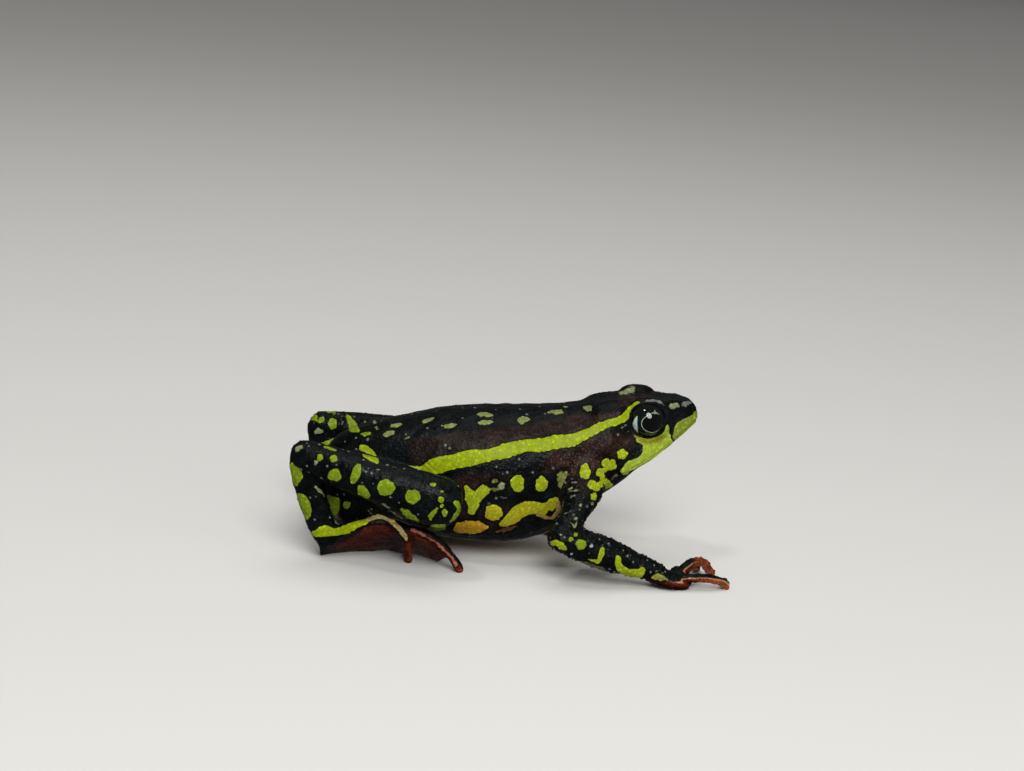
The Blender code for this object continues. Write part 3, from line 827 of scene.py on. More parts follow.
def sculpted_head(points, normals, chosen):
    """The head's lids, mouth and nostrils, the same on both sides."""
    straight = turned(points[chosen], -1.0)
    way = turned_way(normals[chosen], -1.0)
    sign = np.where(straight[:, 1] < 0, -1.0, 1.0)
    fold = np.stack([np.ones_like(sign), sign, np.ones_like(sign)], 1)
    half = straight * fold
    half_way = way * fold
    change = mouth_change(half) + nostril_change(half)
    half = half + half_way * change[:, None]
    half = shaped_lids(half)
    points = points.copy()
    points[chosen] = turned(half * fold)
    return points


def off_middle(pixel):
    """How far right of and above the picture's middle a pixel lies, in focal lengths."""
    return (pixel[0] - PHOTO_WIDTH / 2) / FOCAL_PX, -(pixel[1] - PHOTO_HEIGHT / 2) / FOCAL_PX


def camera_axes():
    """The camera's right, up and backward directions, and its place, in the toad's millimetres."""
    level = np.array([math.cos(CAMERA_AZIMUTH), math.sin(CAMERA_AZIMUTH), 0.0])
    back = np.array([math.sin(CAMERA_AZIMUTH) * math.cos(CAMERA_ELEVATION),
                     -math.cos(CAMERA_AZIMUTH) * math.cos(CAMERA_ELEVATION), math.sin(CAMERA_ELEVATION)])
    upright = np.cross(back, level)
    right = level * math.cos(CAMERA_ROLL) + upright * math.sin(CAMERA_ROLL)
    up = upright * math.cos(CAMERA_ROLL) - level * math.sin(CAMERA_ROLL)
    x, y = off_middle(ORIGIN_PX)
    place = -CAMERA_DISTANCE * (x * right + y * up - back)
    return right, up, back, place


CAMERA_RIGHT, CAMERA_UP, CAMERA_BACK, CAMERA_PLACE = camera_axes()


def pixels_of(points):
    """Where points fall in the photograph."""
    away = points - CAMERA_PLACE
    depth = -(away @ CAMERA_BACK)
    return np.stack([PHOTO_WIDTH / 2 + FOCAL_PX * (away @ CAMERA_RIGHT) / depth,
                     PHOTO_HEIGHT / 2 - FOCAL_PX * (away @ CAMERA_UP) / depth], 1)


def ray_to(pixel):
    """The direction from the camera through a pixel of the photograph."""
    x, y = off_middle(pixel)
    return unit(x * CAMERA_RIGHT + y * CAMERA_UP - CAMERA_BACK)


# The toad's right side is the one in view. Each point of the left half has a twin place on the right, so
# that one set of markings serves both. Limbs are matched joint by joint, since the left ones lie otherwise.
MIRROR = np.array([1.0, -1.0, 1.0])
# How far the left side's markings stray from the right side's, over what length, and from where. Twin
# places are evened out from part to part in so many passes, by this share each.
WANDER = 0.3
WANDER_LENGTH = 6.0
WANDER_FROM = (0.4, 2.5)
TWIN_PASSES = 14
TWIN_SHARE = 0.5


def part_axes(side, part):
    """Where a part starts, its length, and its directions along, outward and square to both. A hand or a
    foot has no length to match."""
    if part in LIMBS:
        first = at_joint(side, LIMBS[part][0])
        reach = at_joint(side, LIMBS[part][1]) - first
        along = unit(reach)
        outward = np.array([0.0, side, 0.0])
        outward = unit(outward - along * (outward @ along))
        return first, np.linalg.norm(reach), np.stack([along, outward, np.cross(along, outward) * side])
    upward = np.array([0.0, 0.0, 1.0])
    if part == "hand":
        wrist = at_joint(side, "wrist")
        wrist[2] = 0.0
        return wrist, 1.0, np.stack([*hand_axes(side), upward])
    return at_joint(side, "foot"), 1.0, np.stack([[1.0, 0.0, 0.0], [0.0, side, 0.0], upward])


# How far the wavelengths in one set of waves lie from the one asked for.
WAVE_SPREAD = (0.7, 1.4)


def waves(points, length, seed, count=5):
    """A gentle random rise and fall over space, between about -1 and 1, with the given wavelength."""
    random = np.random.default_rng(seed)
    total = np.zeros(len(points))
    for _ in range(count):
        way = unit(random.normal(size=3)) * 2 * math.pi / (length * random.uniform(*WAVE_SPREAD))
        total += np.sin(points @ way + random.uniform(0, 2 * math.pi))
    return total / math.sqrt(count)


def twin_places(points, normals, labels, links):
    """For every point the place and facing its markings are read at, and whether it is on the left."""
    places = points.copy()
    ways = normals.copy()
    on_left = np.zeros(len(points), bool)
    straight = turned(points, -1.0)
    side_way = turned_way(normals, -1.0)
    for node, label in LABEL.items():
        chosen = labels == label
        if node == "torso":
            chosen &= points[:, 1] > 0
            places[chosen] = points[chosen] * MIRROR
            ways[chosen] = normals[chosen] * MIRROR
        elif node == "head":
            chosen &= straight[:, 1] > 0
            places[chosen] = turned(straight[chosen] * MIRROR)
            ways[chosen] = turned_way(side_way[chosen] * MIRROR)
        elif node.endswith("_left"):
            part = plain_name(node)
            first, reach, axes = part_axes(LEFT, part)
            to_first, to_reach, to_axes = part_axes(RIGHT, part)
            local = (points[chosen] - first) @ axes.T
            local[:, 0] *= to_reach / reach
            if part == "foot":
                local[:, 2] /= FOOT_LIFT[LEFT]
            places[chosen] = to_first + local @ to_axes
            ways[chosen] = (normals[chosen] @ axes.T) @ to_axes
        else:
            continue
        on_left |= chosen
    shift = places - points * MIRROR
    shift = relaxed(shift, links, TWIN_PASSES, (TWIN_SHARE * on_left)[:, None])
    places[on_left] = (points * MIRROR + shift)[on_left]
    fade = smooth(*WANDER_FROM, points[:, 1]) * on_left * WANDER
    for axis in range(3):
        places[:, axis] += fade * waves(points, WANDER_LENGTH, SEED + axis)
    return places, ways, on_left


# Markings. Places and sizes are in pixels of the photograph's 1024 by 771 frame, as it shows them:
# spots are (x, y, width, height, clockwise turn in degrees), strokes are lines of (x, y, width), and
# patches are outlines of (x, y).
COLOURS = {
    "lime": (0.34, 0.435, 0.005),
    # Leg marks: greener than the stripe, and darker as a painted shade for the legs' dimmer light.
    "leaf": (0.22, 0.32, 0.010),
    "yellow": (0.345, 0.425, 0.0115),
    "band": (0.37, 0.49, 0.036),
    # The lip: the band's yellow made darker, a painted shade on the snout.
    "lip": (0.225, 0.29, 0.025),
    "gold": (0.42, 0.41, 0.014),
    "orange": (0.55, 0.325, 0.015),
    "rim": (0.34, 0.24, 0.06),
    "cream": (0.55, 0.43, 0.14),
    "straw": (0.24, 0.28, 0.075),
    "olive": (0.25, 0.26, 0.045),
    "pale": (0.24, 0.27, 0.12),
    "grey": (0.17, 0.18, 0.14),
    "dim": (0.17, 0.19, 0.04),
    "shade": (0.12, 0.14, 0.045),
    # Small white specks: partly pale granules, partly painted glints on the granules.
    "white": (0.36, 0.38, 0.32),
    "pink": (0.15, 0.10, 0.07),
    "tail": (0.12, 0.045, 0.025),
    "umber": (0.10, 0.06, 0.016),
    "salmon": (0.36, 0.13, 0.07),
}

STROKES = {
    "stripe": ("lime", [
        (404, 466, 3), (411, 468, 6), (422, 471, 10), (436, 466, 17), (452, 462, 15), (470, 458, 17),
        (490, 455, 12.5), (505, 451, 15), (524, 446, 13), (540, 445, 14), (556, 442, 14), (572, 440, 13),
        (588, 433, 10), (604, 425, 9), (618, 421, 8), (626, 416, 8), (631, 410, 8), (637, 404.5, 7)]),
    "lip": ("lip", [
        (695.3, 413.7, 6), (695, 417.2, 8.5), (688.6, 422.6, 10.5), (683, 426.2, 13), (679, 431, 11.5),
        (676.4, 436, 9)]),
    "rump_hook": ("yellow", [(362, 447, 5), (365, 450, 10), (370, 455, 11), (377, 461.5, 5)]),
    "rump_dash": ("yellow", [(321, 444.5, 3), (327, 442.8, 5.5), (335, 440.8, 6.5), (342.5, 438, 3)]),
    "flank_fork_rear": ("yellow", [
        (466, 486.5, 4), (468, 490.5, 7), (472, 498, 14), (473.2, 505, 11.5), (472, 510.5, 9)]),
    "flank_fork_front": ("yellow", [(483.5, 490.5, 12), (479, 495, 12), (475, 499, 12)]),
    "flank_wave": ("gold", [
        (502, 524, 6), (506.5, 521.5, 9.5), (512, 518, 13), (517.5, 512.5, 15), (525, 508.5, 14),
        (533, 508, 13), (541, 508.5, 12.5), (547.5, 507.5, 12), (552.5, 503.5, 11), (555.5, 500, 7)]),
    "flank_wave_end": ("rim", [
        (556.5, 503, 7), (558.5, 508, 6.5), (557, 513.5, 5.5), (551, 518, 4), (544, 516.5, 4.5),
        (537, 514.5, 3)]),
    "flank_low": ("umber", [(497, 532, 2.5), (503, 530, 3.5), (511, 528, 3.5), (519, 526, 2)]),
    "heel_link": ("pale", [(316, 487, 3), (320, 491, 4), (324.6, 496.2, 1.5)]),
    "shank_line": ("grey", [(390, 510, 1.5), (396, 514.5, 2), (402, 518, 1.5)]),
    "shank_low": ("leaf", [(401.5, 509.5, 4), (408.8, 514.7, 7), (417, 520.5, 5)]),
    "wedge_tail": ("tail", [(334, 511, 5), (337.5, 515.5, 5), (341, 519, 3)]),
    "arm_ridge_top": ("grey", [(571, 482.5, 1), (574.2, 482, 1.8), (578, 482.3, 1)]),
    "arm_ridge_rear": ("pale", [(567.5, 491, 1), (570.5, 488.4, 2.2), (573, 486.8, 1)]),
    "arm_ridge": ("pale", [(569.5, 491.2, 1), (575.5, 490.3, 2.6), (581, 489.8, 1)]),
    "arm_ridge_low": ("grey", [(565.5, 505, 1), (568.5, 503.6, 2.4), (571, 503, 1)]),
    "arm_fold": ("grey", [(565, 514, 1), (569.3, 512.1, 2.2), (573, 509, 1)]),
    "arm_fork_rear": ("pale", [(570, 522, 1.5), (572.5, 524.6, 2.6), (574.2, 527, 2)]),
    "arm_fork_front": ("pale", [(577, 522, 1.5), (576, 524.5, 2.4), (574.5, 527, 2)]),
    "knee_front": ("leaf", [(456.2, 503.2, 6), (458.3, 510.2, 5), (450.6, 522.8, 4)]),
    "knee_low": ("leaf", [(436.6, 509.5, 4), (431.7, 515.4, 6), (428.2, 520, 5)]),
    "knee_foot": ("leaf", [(428.9, 528.4, 2), (435, 527.5, 8), (442.9, 527, 7)]),
    "foot_edge": ("lime", [
        (312.5, 534, 4), (317, 533, 8), (326, 531, 12), (334, 532.3, 8), (345.4, 529.5, 9), (356.7, 524.4, 8),
        (366, 521, 6.5)]),
    "foot_edge_top": ("cream", [(366, 521, 5.5), (372, 518.3, 5), (379.4, 516.2, 4.5)]),
    "foot_edge_front": ("cream", [
        (379.4, 516.2, 4.5), (388.4, 519.6, 4.5), (395.2, 524.6, 5.5), (401, 530.4, 5.5), (405, 536, 4.5),
        (406.5, 540, 3)]),
    "long_toe": ("salmon", [
        (411.7, 529.5, 4.5), (420, 533, 3.4), (428, 537.4, 3), (436, 542.5, 3), (444, 550, 3),
        (450.8, 556.7, 3), (456, 565, 4)]),
    "elbow": ("yellow", [(553, 543, 6), (557, 543, 6), (562, 546, 7), (565.5, 549, 4)]),
    "forearm_drop": ("yellow", [(602, 550, 6), (601, 556, 6), (597, 561, 5), (588, 559.5, 2)]),
    "forearm_under": ("shade", [(564, 557, 3), (572, 560.5, 4.5), (582, 563.5, 5.5), (592, 566, 5.5),
                                (600, 568.5, 5), (607, 572, 3)]),
    "forearm_hook": ("yellow", [
        (618, 558, 6), (619, 565, 8), (624, 571, 9), (632, 573, 9), (640, 573, 9), (642, 569, 6)]),
    "lid": ("grey", [
        (642.4, 403.6, 2), (648, 401.1, 3.4), (654, 400.4, 3.6), (660, 402, 3.2), (664.4, 405.2, 1.6)]),
}

PATCHES = {
    "jaw": ("band", [
        (668.2, 423.8), (665.6, 425.6), (664.8, 428.5), (663, 432), (659, 435), (654, 437.4), (648, 438.2),
        (642.2, 436.6), (636.5, 434.4), (631.2, 432.6), (631.5, 434.3), (635.2, 438.7),
        (636.7, 442.3), (641.1, 444.5), (642.5, 446), (642.2, 451.9), (638.9, 456.3), (633.7, 458.8),
        (627.9, 461.4), (624.9, 462.9), (623.5, 466.5), (620.2, 471.3), (624.2, 475), (630.3, 471.5),
        (638, 468), (648.5, 463), (657.5, 457), (665.5, 450.5), (672, 445), (673.5, 441),
        (670.8, 437.2)]),
    "far_shank": ("leaf", [
        (345.6, 414.3), (351.2, 416.4), (359.6, 429), (358.9, 432.5), (350.5, 432.5), (348.4, 426.2)]),
    "heel_top": ("leaf", [
        (289.6, 463.3), (296.6, 464), (302.2, 472.4), (302.9, 477.3), (300.1, 482.2), (295.2, 487.1),
        (293.1, 483.6), (291, 475.2)]),
    "heel_rear": ("leaf", [
        (297.3, 493.4), (303.6, 494.1), (308.5, 499), (311.3, 506), (312, 513), (307.1, 520.7),
        (302.9, 514.4), (298.7, 504.6)]),
    "wrist": ("olive", [
        (651.5, 578), (653.5, 574.7), (656.7, 573.2), (661, 574.2), (665, 576.3), (669, 580), (664, 580.8),
        (657, 579.8)]),
    "tarsus_wedge": ("leaf", [
        (326, 495.5), (331.6, 494.8), (339.3, 499), (340, 506), (338.6, 514.4), (340.7, 520),
        (335.8, 518.6), (331.6, 511.6), (327.4, 503.2)]),
}

# Spots by colour. The yellow ones after the first four make the cluster in front of the shoulder.
SPOTS = {
    "straw": [
        (428, 420, 14, 5, -20), (450.4, 425.5, 14.5, 5, -8), (484.8, 414.5, 17, 5, 3),
        (485.6, 422.5, 16, 5, -3), (522.9, 420.1, 13, 7.5, -5), (555.5, 411.9, 16, 5, -3),
        (565.6, 406.8, 6, 2, 0), (588, 407.9, 10, 6.5, 3), (388.8, 433.5, 13, 6, -15),
        (396, 425.2, 13, 4.5, -12), (407, 438, 6, 2.5, -25)],
    "leaf": [
        (365.9, 433.9, 11, 4.5, -5), (330.2, 448.6, 14, 3.5, 12), (311, 414.6, 7, 7.5, 0),
        (321.8, 419.6, 6.5, 6, 0), (332.6, 423.4, 9, 12, 0), (330.2, 410.1, 12, 3, 0),
        (320, 457.4, 7, 7, 0), (333.7, 458.8, 8, 8, 0), (334.4, 475.2, 14, 13, 0),
        (355.7, 473.8, 10, 21, 20), (363.5, 492.7, 10, 17, -40), (385.9, 487.8, 18, 17, 0),
        (412.8, 496.9, 16, 15, 0), (346.7, 505.3, 8, 8, 0), (433.1, 484.3, 6.5, 4.5, 0),
        (441.9, 491.3, 5, 3.5, 0), (441.1, 500.1, 7, 7, 0), (441.9, 506.7, 4, 4, 0),
        (444.7, 513.7, 6, 8, 0), (575.3, 534.5, 5, 5, 0), (571, 539.1, 5.5, 5.5, 0),
        (581.1, 544.5, 11.5, 10.5, 0)],
    "yellow": [
        (517.6, 483.6, 14, 18, 0), (541.6, 484.4, 13, 16, 0), (585, 471.6, 11.5, 16, 0),
        (622, 454.4, 10.5, 11, 0), (606.3, 462.8, 9.5, 9, 0), (612.3, 462.8, 7.5, 8, 0),
        (613.6, 466.8, 6, 6, 0), (609.4, 467, 8.5, 8, 0), (594, 496.6, 6.5, 8.5, 0), (605, 470, 6, 6, 0),
        (599.8, 472.6, 9, 9, 0), (602.2, 477.2, 6.5, 6.5, 0), (605, 481.4, 7, 6.5, 0),
        (607.8, 484.6, 9, 9, 0), (600.2, 484.2, 7, 7, 0), (592.4, 484.4, 10, 9.5, 0),
        (596.4, 488, 8, 7.5, 0)],
    "gold": [(493.6, 513, 18.5, 16.5, 0)],
    "orange": [(469.7, 528, 35, 13.5, -3)],
    "pale": [
        (393.9, 467.5, 5, 2.5, 0), (377.8, 469.6, 5, 2.5, 0), (319, 431.8, 11, 7, 0),
        (342.1, 422.7, 2, 4, 0), (365.2, 422.4, 3.5, 5, 0), (374.3, 421.7, 4, 5, 0),
        (376.7, 427.6, 3, 5, 0), (298.7, 448.9, 11, 6, -40), (315.5, 463.3, 4, 6, 0),
        (385.5, 506, 10, 4, 30), (575.3, 518.7, 5, 3.6, 30), (581.2, 504.9, 4, 4, 0),
        (591.8, 504, 4.5, 5, 0), (502, 486, 8, 9, 0), (607, 489.8, 4, 3, 0), (674, 405.7, 12, 6.5, -8),
        (627, 392, 19, 5, -8)],
    "grey": [
        (686.5, 403.5, 12, 6, -14), (587.8, 507, 2.6, 3.2, 0), (556.5, 525, 4, 4, 0),
        (622, 427.5, 4, 2.4, -20), (627.8, 432, 5, 2.4, -40), (631, 418, 2, 2.4, 0),
        (625.5, 424.6, 2.6, 2, 0), (599.4, 501, 1.4, 7, 42)],
    # Small white specks: partly pale granules, partly painted glints on the granules.
    "white": [
        (442, 426, 2, 2, 0), (429.6, 491.3, 2.5, 2, 0), (591.7, 545.6, 4, 4, 0), (560.7, 535.1, 3, 3, 0),
        (571.4, 554, 3, 3, 0), (570.8, 518.7, 1.8, 1.8, 0), (561, 535, 2.4, 2.4, 0),
        (550.5, 538, 2.4, 3, 0), (551, 542.4, 2.2, 2.2, 0), (552, 549, 2.2, 2.2, 0),
        (330, 514.7, 1.4, 1.4, 0), (330, 517.4, 1.3, 1.3, 0), (503.8, 498, 3, 2, 0),
        (506.7, 497.6, 1.8, 1.8, 0)],
    "pink": [(615.8, 475.6, 4.6, 3.6, -20), (612.4, 479, 3, 3, 0)],
    "dim": [(563.5, 480.4, 13, 20, 0), (495.7, 481.8, 7, 5, 0), (494, 489, 10, 5, 0)],
}
# Dark places cut out of the markings.
HOLES = [
    (549.5, 513.6, 5, 5.6, 20), (610, 476, 5, 4, 30), (670.6, 429, 2.4, 11, 8), (381, 415, 30, 11, 0)]
RIGHT_ONLY = {"lid"}
SOFTNESS_OF = {"dim": 0.3, "pale": 0.55, "grey": 0.5}

# Places where a marking darkens or turns towards orange, as lines of (x, y, width): painted shade under
# the eye on the jaw's band, and orange at the lower edges of the wave and the gold spot.
SHADE_AND_TINT_LINES = [
    # Painted shade under the eye, on the jaw's band.
    ((0.72, 0.5, 0.4), [(632, 434.5, 3), (640, 439, 4.5), (648, 441.5, 5), (656, 440.5, 5), (664, 436, 3)]),
    ((1.05, 0.68, 0.6), [(499, 525, 4), (505, 527.5, 4), (513, 525.5, 4), (521, 520.5, 4), (528, 516, 3)]),
    ((1.1, 0.72, 0.7), [(484, 512, 3), (486.5, 518, 4), (492, 521.5, 4), (499, 520, 3)]),
]
SHADE_EDGE = 2.6

# How far behind the edge of view a marking may run, and how far off the place the camera's ray met.
WRAP = -0.35
NEAR_HIT = 1.3
# The depth of skin that bears no marking, and the waves of a spot's edge: how many, and how deep.
NO_MARK = -1.5
LOBE_DEPTHS = {3: 0.045, 5: 0.035, 8: 0.02}
# A spot's plane is never flatter to the camera than this, and it reaches no further above or below.
LEAST_FACING = 0.24
SPOT_DEPTH = 1.1
SPOT_MARGIN = 1.0
# The share of a marking's rays that a part has to take to bear it, how far its copy on the left may face
# the camera, and the half width of the strip along the back where a marking has no copy.
LEAST_SHARE = 0.22
LEAST_HIDDEN = -0.3
MIDDLE_HALF_WIDTH = 0.8
# One in so many points on the left is enough to find a marking's copy.
TWIN_SAMPLE = 4
# Where a ray misses the skin, rings of pixels round it are tried, this many steps out.
SEARCH_STEPS = 9
SEARCH_TURNS = 8
# In pixels: the margins round strokes, patches and creases, and the steps between samples of the first two.
STROKE_MARGIN = 16
STROKE_STEP = 2
PATCH_MARGIN = 8
PATCH_STEP = 3.0
CREASE_MARGIN = 6

# In front of this the torso, head and upper arm are one smooth form, which markings cross freely.
SHOULDER_FROM_PX = 572
SHOULDER_PARTS = {LABEL["torso"], LABEL["head"], LABEL["upper_arm_right"]}


def towards_camera(places, ways):
    """How squarely each place faces the camera, from -1 to 1."""
    sight = CAMERA_PLACE - places
    sight /= np.linalg.norm(sight, axis=1)[:, None]
    return np.einsum("ij,ij->i", sight, ways)


def ellipse_distance(away, spot, phases):
    """How far inside a spot each pixel offset lies, with an edge that bulges in and out a little."""
    _, _, width, height, angle = spot
    turn = math.radians(angle)
    along = away @ (math.cos(turn), math.sin(turn))
    across = away @ (-math.sin(turn), math.cos(turn))
    a = width / 2
    b = height / 2
    reach = np.hypot(along / a, across / b)
    theta = np.arctan2(across / b, along / a)
    edge = np.ones(len(away))
    for (count, depth), phase in zip(LOBE_DEPTHS.items(), phases):
        edge += depth * np.sin(count * theta + phase)
    slope = np.hypot(along / a ** 2, across / b ** 2) / np.maximum(reach, 1e-6)
    return (edge - reach) / np.maximum(slope, 1 / max(a, b))


def stroke_distance(pixels, path):
    """How far inside a stroke each pixel lies."""
    rows = np.array(path, float)
    span = np.hypot(*np.diff(rows[:, :2], axis=0).T).sum()
    best = np.full(len(pixels), -99.0)
    for x, y, width in between(rows, int(span) + 2):
        best = np.maximum(best, width / 2 - np.hypot(pixels[:, 0] - x, pixels[:, 1] - y))
    return best


def patch_distance(pixels, outline):
    """How far inside a closed outline each pixel lies."""
    ring = closed_curve(outline, 4)
    closer = np.full(len(pixels), 99.0)
    inside = np.zeros(len(pixels), bool)
    for start, end in zip(ring, np.roll(ring, -1, axis=0)):
        edge = end - start
        away = pixels - start
        t = np.clip(away @ edge / (edge @ edge + 1e-9), 0.0, 1.0)
        closer = np.minimum(closer, np.hypot(*(away - t[:, None] * edge).T))
        crosses = (start[1] > pixels[:, 1]) != (end[1] > pixels[:, 1])
        cut = start[0] + (pixels[:, 1] - start[1]) * edge[0] / (edge[1] if edge[1] else 1e-9)
        inside ^= crosses & (pixels[:, 0] < cut)
    return np.where(inside, closer, -closer)


class Markings:
    """The markings gathered over the skin: how far inside the nearest one each point is, in
    millimetres, and its colour."""

    def __init__(self, mesh, points, normals, labels, links):
        self.points = points
        self.normals = normals
        self.labels = labels
        triangles = read_triangles(mesh)
        self.tree = BVHTree.FromPolygons(points.tolist(), triangles.tolist())
        self.corner = triangles[:, 0]
        self.places, self.ways, self.on_left = twin_places(points, normals, labels, links)
        self.right_labels = np.array([LABEL[name.replace("_left", "_right")] for name in NODES])[labels]
        self.on_body = np.isin(labels, [LABEL["torso"], LABEL["head"]])
        self.own_pixels = pixels_of(points)
        self.pixels = pixels_of(self.places)
        self.own_facing = towards_camera(points, normals)
        self.facing = towards_camera(self.places, self.ways)
        self.left_points = np.nonzero(self.on_left)[0][::TWIN_SAMPLE]
        self.left_tree = tree_of(self.places[self.left_points].tolist())
        self.depth = np.full(len(points), NO_MARK)
        self.colour = np.tile(COLOURS["yellow"], (len(points), 1))
        self.random = np.random.default_rng(SEED)

    def on_part(self, part):
        """Whether each point lies on the given part of a limb, right or left."""
        return self.right_labels == LABEL[part + "_right"]

    def hit(self, x, y):
        """The place, facing and nearest point where the camera's ray through a pixel meets the skin."""
        for step in range(SEARCH_STEPS):
            for turn in range(SEARCH_TURNS if step else 1):
                angle = turn * 2 * math.pi / SEARCH_TURNS
                pixel = (x + step * math.cos(angle), y + step * math.sin(angle))
                spot, way, face, _ = self.tree.ray_cast(Vector(CAMERA_PLACE), Vector(ray_to(pixel)))
                if face is not None:
                    return np.array(spot), np.array(way), self.corner[face]
        return None

    def reach_of(self, hits):
        """The points a marking may lie on, and where to read them: the parts its rays met, on the same
        side of the body and, if that is the right, on the left too."""
        met = [self.labels[index] for _, _, index in hits]
        parts = {part for part in met if met.count(part) >= LEAST_SHARE * len(met)}
        centre = next(found for found in hits[len(hits) // 2:] + hits if self.labels[found[2]] in parts)
        place, _, index = centre
        if self.labels[index] in SHOULDER_PARTS and self.own_pixels[index][0] > SHOULDER_FROM_PX:
            parts |= SHOULDER_PARTS
        on_middle = NODES[self.labels[index]] in ("torso", "head") and abs(place[1]) < MIDDLE_HALF_WIDTH
        if on_middle or self.on_left[index]:
            chosen = np.isin(self.labels, list(parts)) & (on_middle | self.on_left)
            return chosen, self.points, self.normals, self.own_pixels, self.own_facing
        parts = {LABEL[NODES[part].replace("_left", "_right")] for part in parts}
        chosen = np.isin(self.right_labels, list(parts))
        if self.twin_in_view(hits):
            chosen &= ~self.on_left
        return chosen, self.places, self.ways, self.pixels, self.facing

    def twin_in_view(self, hits):
        """Whether the marking's copy on the left would show in the photograph, where there is none."""
        facing = [self.own_facing[self.left_points[self.left_tree.find(spot)[1]]] for spot, _, _ in hits]
        return np.mean(facing) > LEAST_HIDDEN

    def paint(self, index, inside, colour):
        better = inside > self.depth[index]
        self.depth[index[better]] = inside[better]
        self.colour[index[better]] = COLOURS[colour]

    def cut(self, index, inside, _):
        self.depth[index] = np.minimum(self.depth[index], -inside)

    def near_rays(self, samples, outline, margin, limit, least_facing):
        """The points near where the camera's rays through the samples meet the skin, and the pixels to
        read them at. Samples and outline are pixels of the photograph."""
        hits = [found for found in (self.hit(x, y) for x, y in samples) if found]
        chosen, places, _, pixels, facing = self.reach_of(hits)
        within = ((pixels > outline.min(0) - margin) & (pixels < outline.max(0) + margin)).all(1)
        index = np.nonzero(chosen & within & (facing > least_facing))[0]
        tree = tree_of([spot for spot, _, _ in hits])
        index = index[[tree.find(place)[2] < limit for place in places[index].tolist()]]
        return index, pixels[index]

    def stroke(self, path, colour, right_only=False):
        rows = np.array(path, float)
        span = np.hypot(*np.diff(rows[:, :2], axis=0).T).sum()
        line = between(rows, int(span / STROKE_STEP) + 2)[:, :2]
        limit = rows[:, 2].max() / 2 / PIXELS_PER_MM + NEAR_HIT
        index, pixels = self.near_rays(line, line, STROKE_MARGIN, limit, WRAP)
        inside = stroke_distance(pixels, path) / PIXELS_PER_MM
        shown = ~(self.on_left[index] & right_only)
        self.paint(index[shown], inside[shown], colour)

    def patch(self, outline, colour):
        ring = np.array(outline, float)
        low = ring.min(0)
        high = ring.max(0)
        grid = np.array([(x, y) for x in np.arange(low[0], high[0], PATCH_STEP)
                         for y in np.arange(low[1], high[1], PATCH_STEP)])
        samples = grid[patch_distance(grid, outline) > 0]
        index, pixels = self.near_rays(samples, ring, PATCH_MARGIN, NEAR_HIT, WRAP)
        self.paint(index, patch_distance(pixels, outline) / PIXELS_PER_MM, colour)

    def spot(self, spot, colour, put=None, softness=1.0):
        """A spot, flat on the skin where the camera's ray meets it."""
        found = self.hit(spot[0], spot[1])
        phases = self.random.uniform(0, 2 * math.pi, len(LOBE_DEPTHS))
        centre, way, _ = found
        sight = unit(CAMERA_PLACE - centre)
        facing = way @ sight
        if facing < LEAST_FACING:
            aside = unit(way - facing * sight)
            way = LEAST_FACING * sight + math.sqrt(1 - LEAST_FACING ** 2) * aside
        chosen, places, ways, _, _ = self.reach_of([found])
        reach = max(spot[2], spot[3]) / PIXELS_PER_MM / 2 + SPOT_MARGIN
        near = np.abs(places - centre).max(1) < reach / max(facing, LEAST_FACING)
        index = np.nonzero(chosen & near)[0]
        index = index[ways[index] @ way > 0.1]
        index = index[np.abs((places[index] - centre) @ way) < SPOT_DEPTH]
        flat = places[index] - ((places[index] - centre) @ way)[:, None] * way
        away = pixels_of(flat) - pixels_of(centre[None])
        inside = ellipse_distance(away, spot, phases) * softness / PIXELS_PER_MM
        (put or self.paint)(index, inside, colour)


def all_markings(mesh, points, normals, labels, links):
    markings = Markings(mesh, points, normals, labels, links)
    for name, (colour, path) in STROKES.items():
        markings.stroke(path, colour, right_only=name in RIGHT_ONLY)
    for colour, outline in PATCHES.values():
        markings.patch(outline, colour)
    for colour, spots in SPOTS.items():
        for spot in spots:
            markings.spot(spot, colour, softness=SOFTNESS_OF.get(colour, 1.0))
    for spot in HOLES:
        markings.spot(spot, "yellow", put=markings.cut)
    # Painted shade under the eye, and orange at the edges of two marks.
    for factor, path in SHADE_AND_TINT_LINES:
        share = smooth(-SHADE_EDGE, SHADE_EDGE, stroke_distance(markings.pixels, path))
        share *= markings.on_body * (markings.facing > WRAP)
        markings.colour *= 1.0 + (np.array(factor) - 1.0) * share[:, None]
    return markings


# The skin's own colours under the markings, and some that carry painted highlights and painted shade.
BLACK = np.array((0.0030, 0.0036, 0.0032))
BLUE_BLACK = np.array((0.0042, 0.0060, 0.0070))
BROWN = np.array((0.018, 0.0102, 0.0072))
RED_BROWN = np.array((0.031, 0.0132, 0.0094))
BELLY = np.array((0.48, 0.27, 0.03))
UNDER_LIMB = np.array((0.075, 0.038, 0.010))
# The soles' and palms' deep red, made darker than the skin's own red: a painted shade for the shade they lie
# in.
SOLE_RED = np.array((0.052, 0.007, 0.0022))
DIGIT = np.array((0.23, 0.045, 0.016))
# The pale colour for a painted highlight along the fingers' upper edge, and for the paler skin on their lower
# side.
DIGIT_PALE_AND_SHEEN = np.array((0.46, 0.29, 0.15))
# The pale tips of some granules: partly pale skin, partly painted glints.
SPECK = (0.15, 0.16, 0.13)
ROSY_GRAIN = (0.10, 0.062, 0.05)
# The lightening for a painted highlight along the raised rim of each marking.
RIM_HIGHLIGHT = (1.12, 1.1, 1.6)

# The upper edge of the sole's red, as (x, y) in the photograph, where painted shade darkens the sole in
# front under its arch, and where painted light brightens it at its lit apex: the middle across, and the
# half width and half height.
SOLE_TOP = [
    (318, 551), (326, 548), (345, 541), (359, 532.5), (368, 524), (380, 519), (395, 529), (404, 540)]
SOLE_SHADE_PX = (382, 396)
SOLE_LIT_PX = (374, 14, 9)

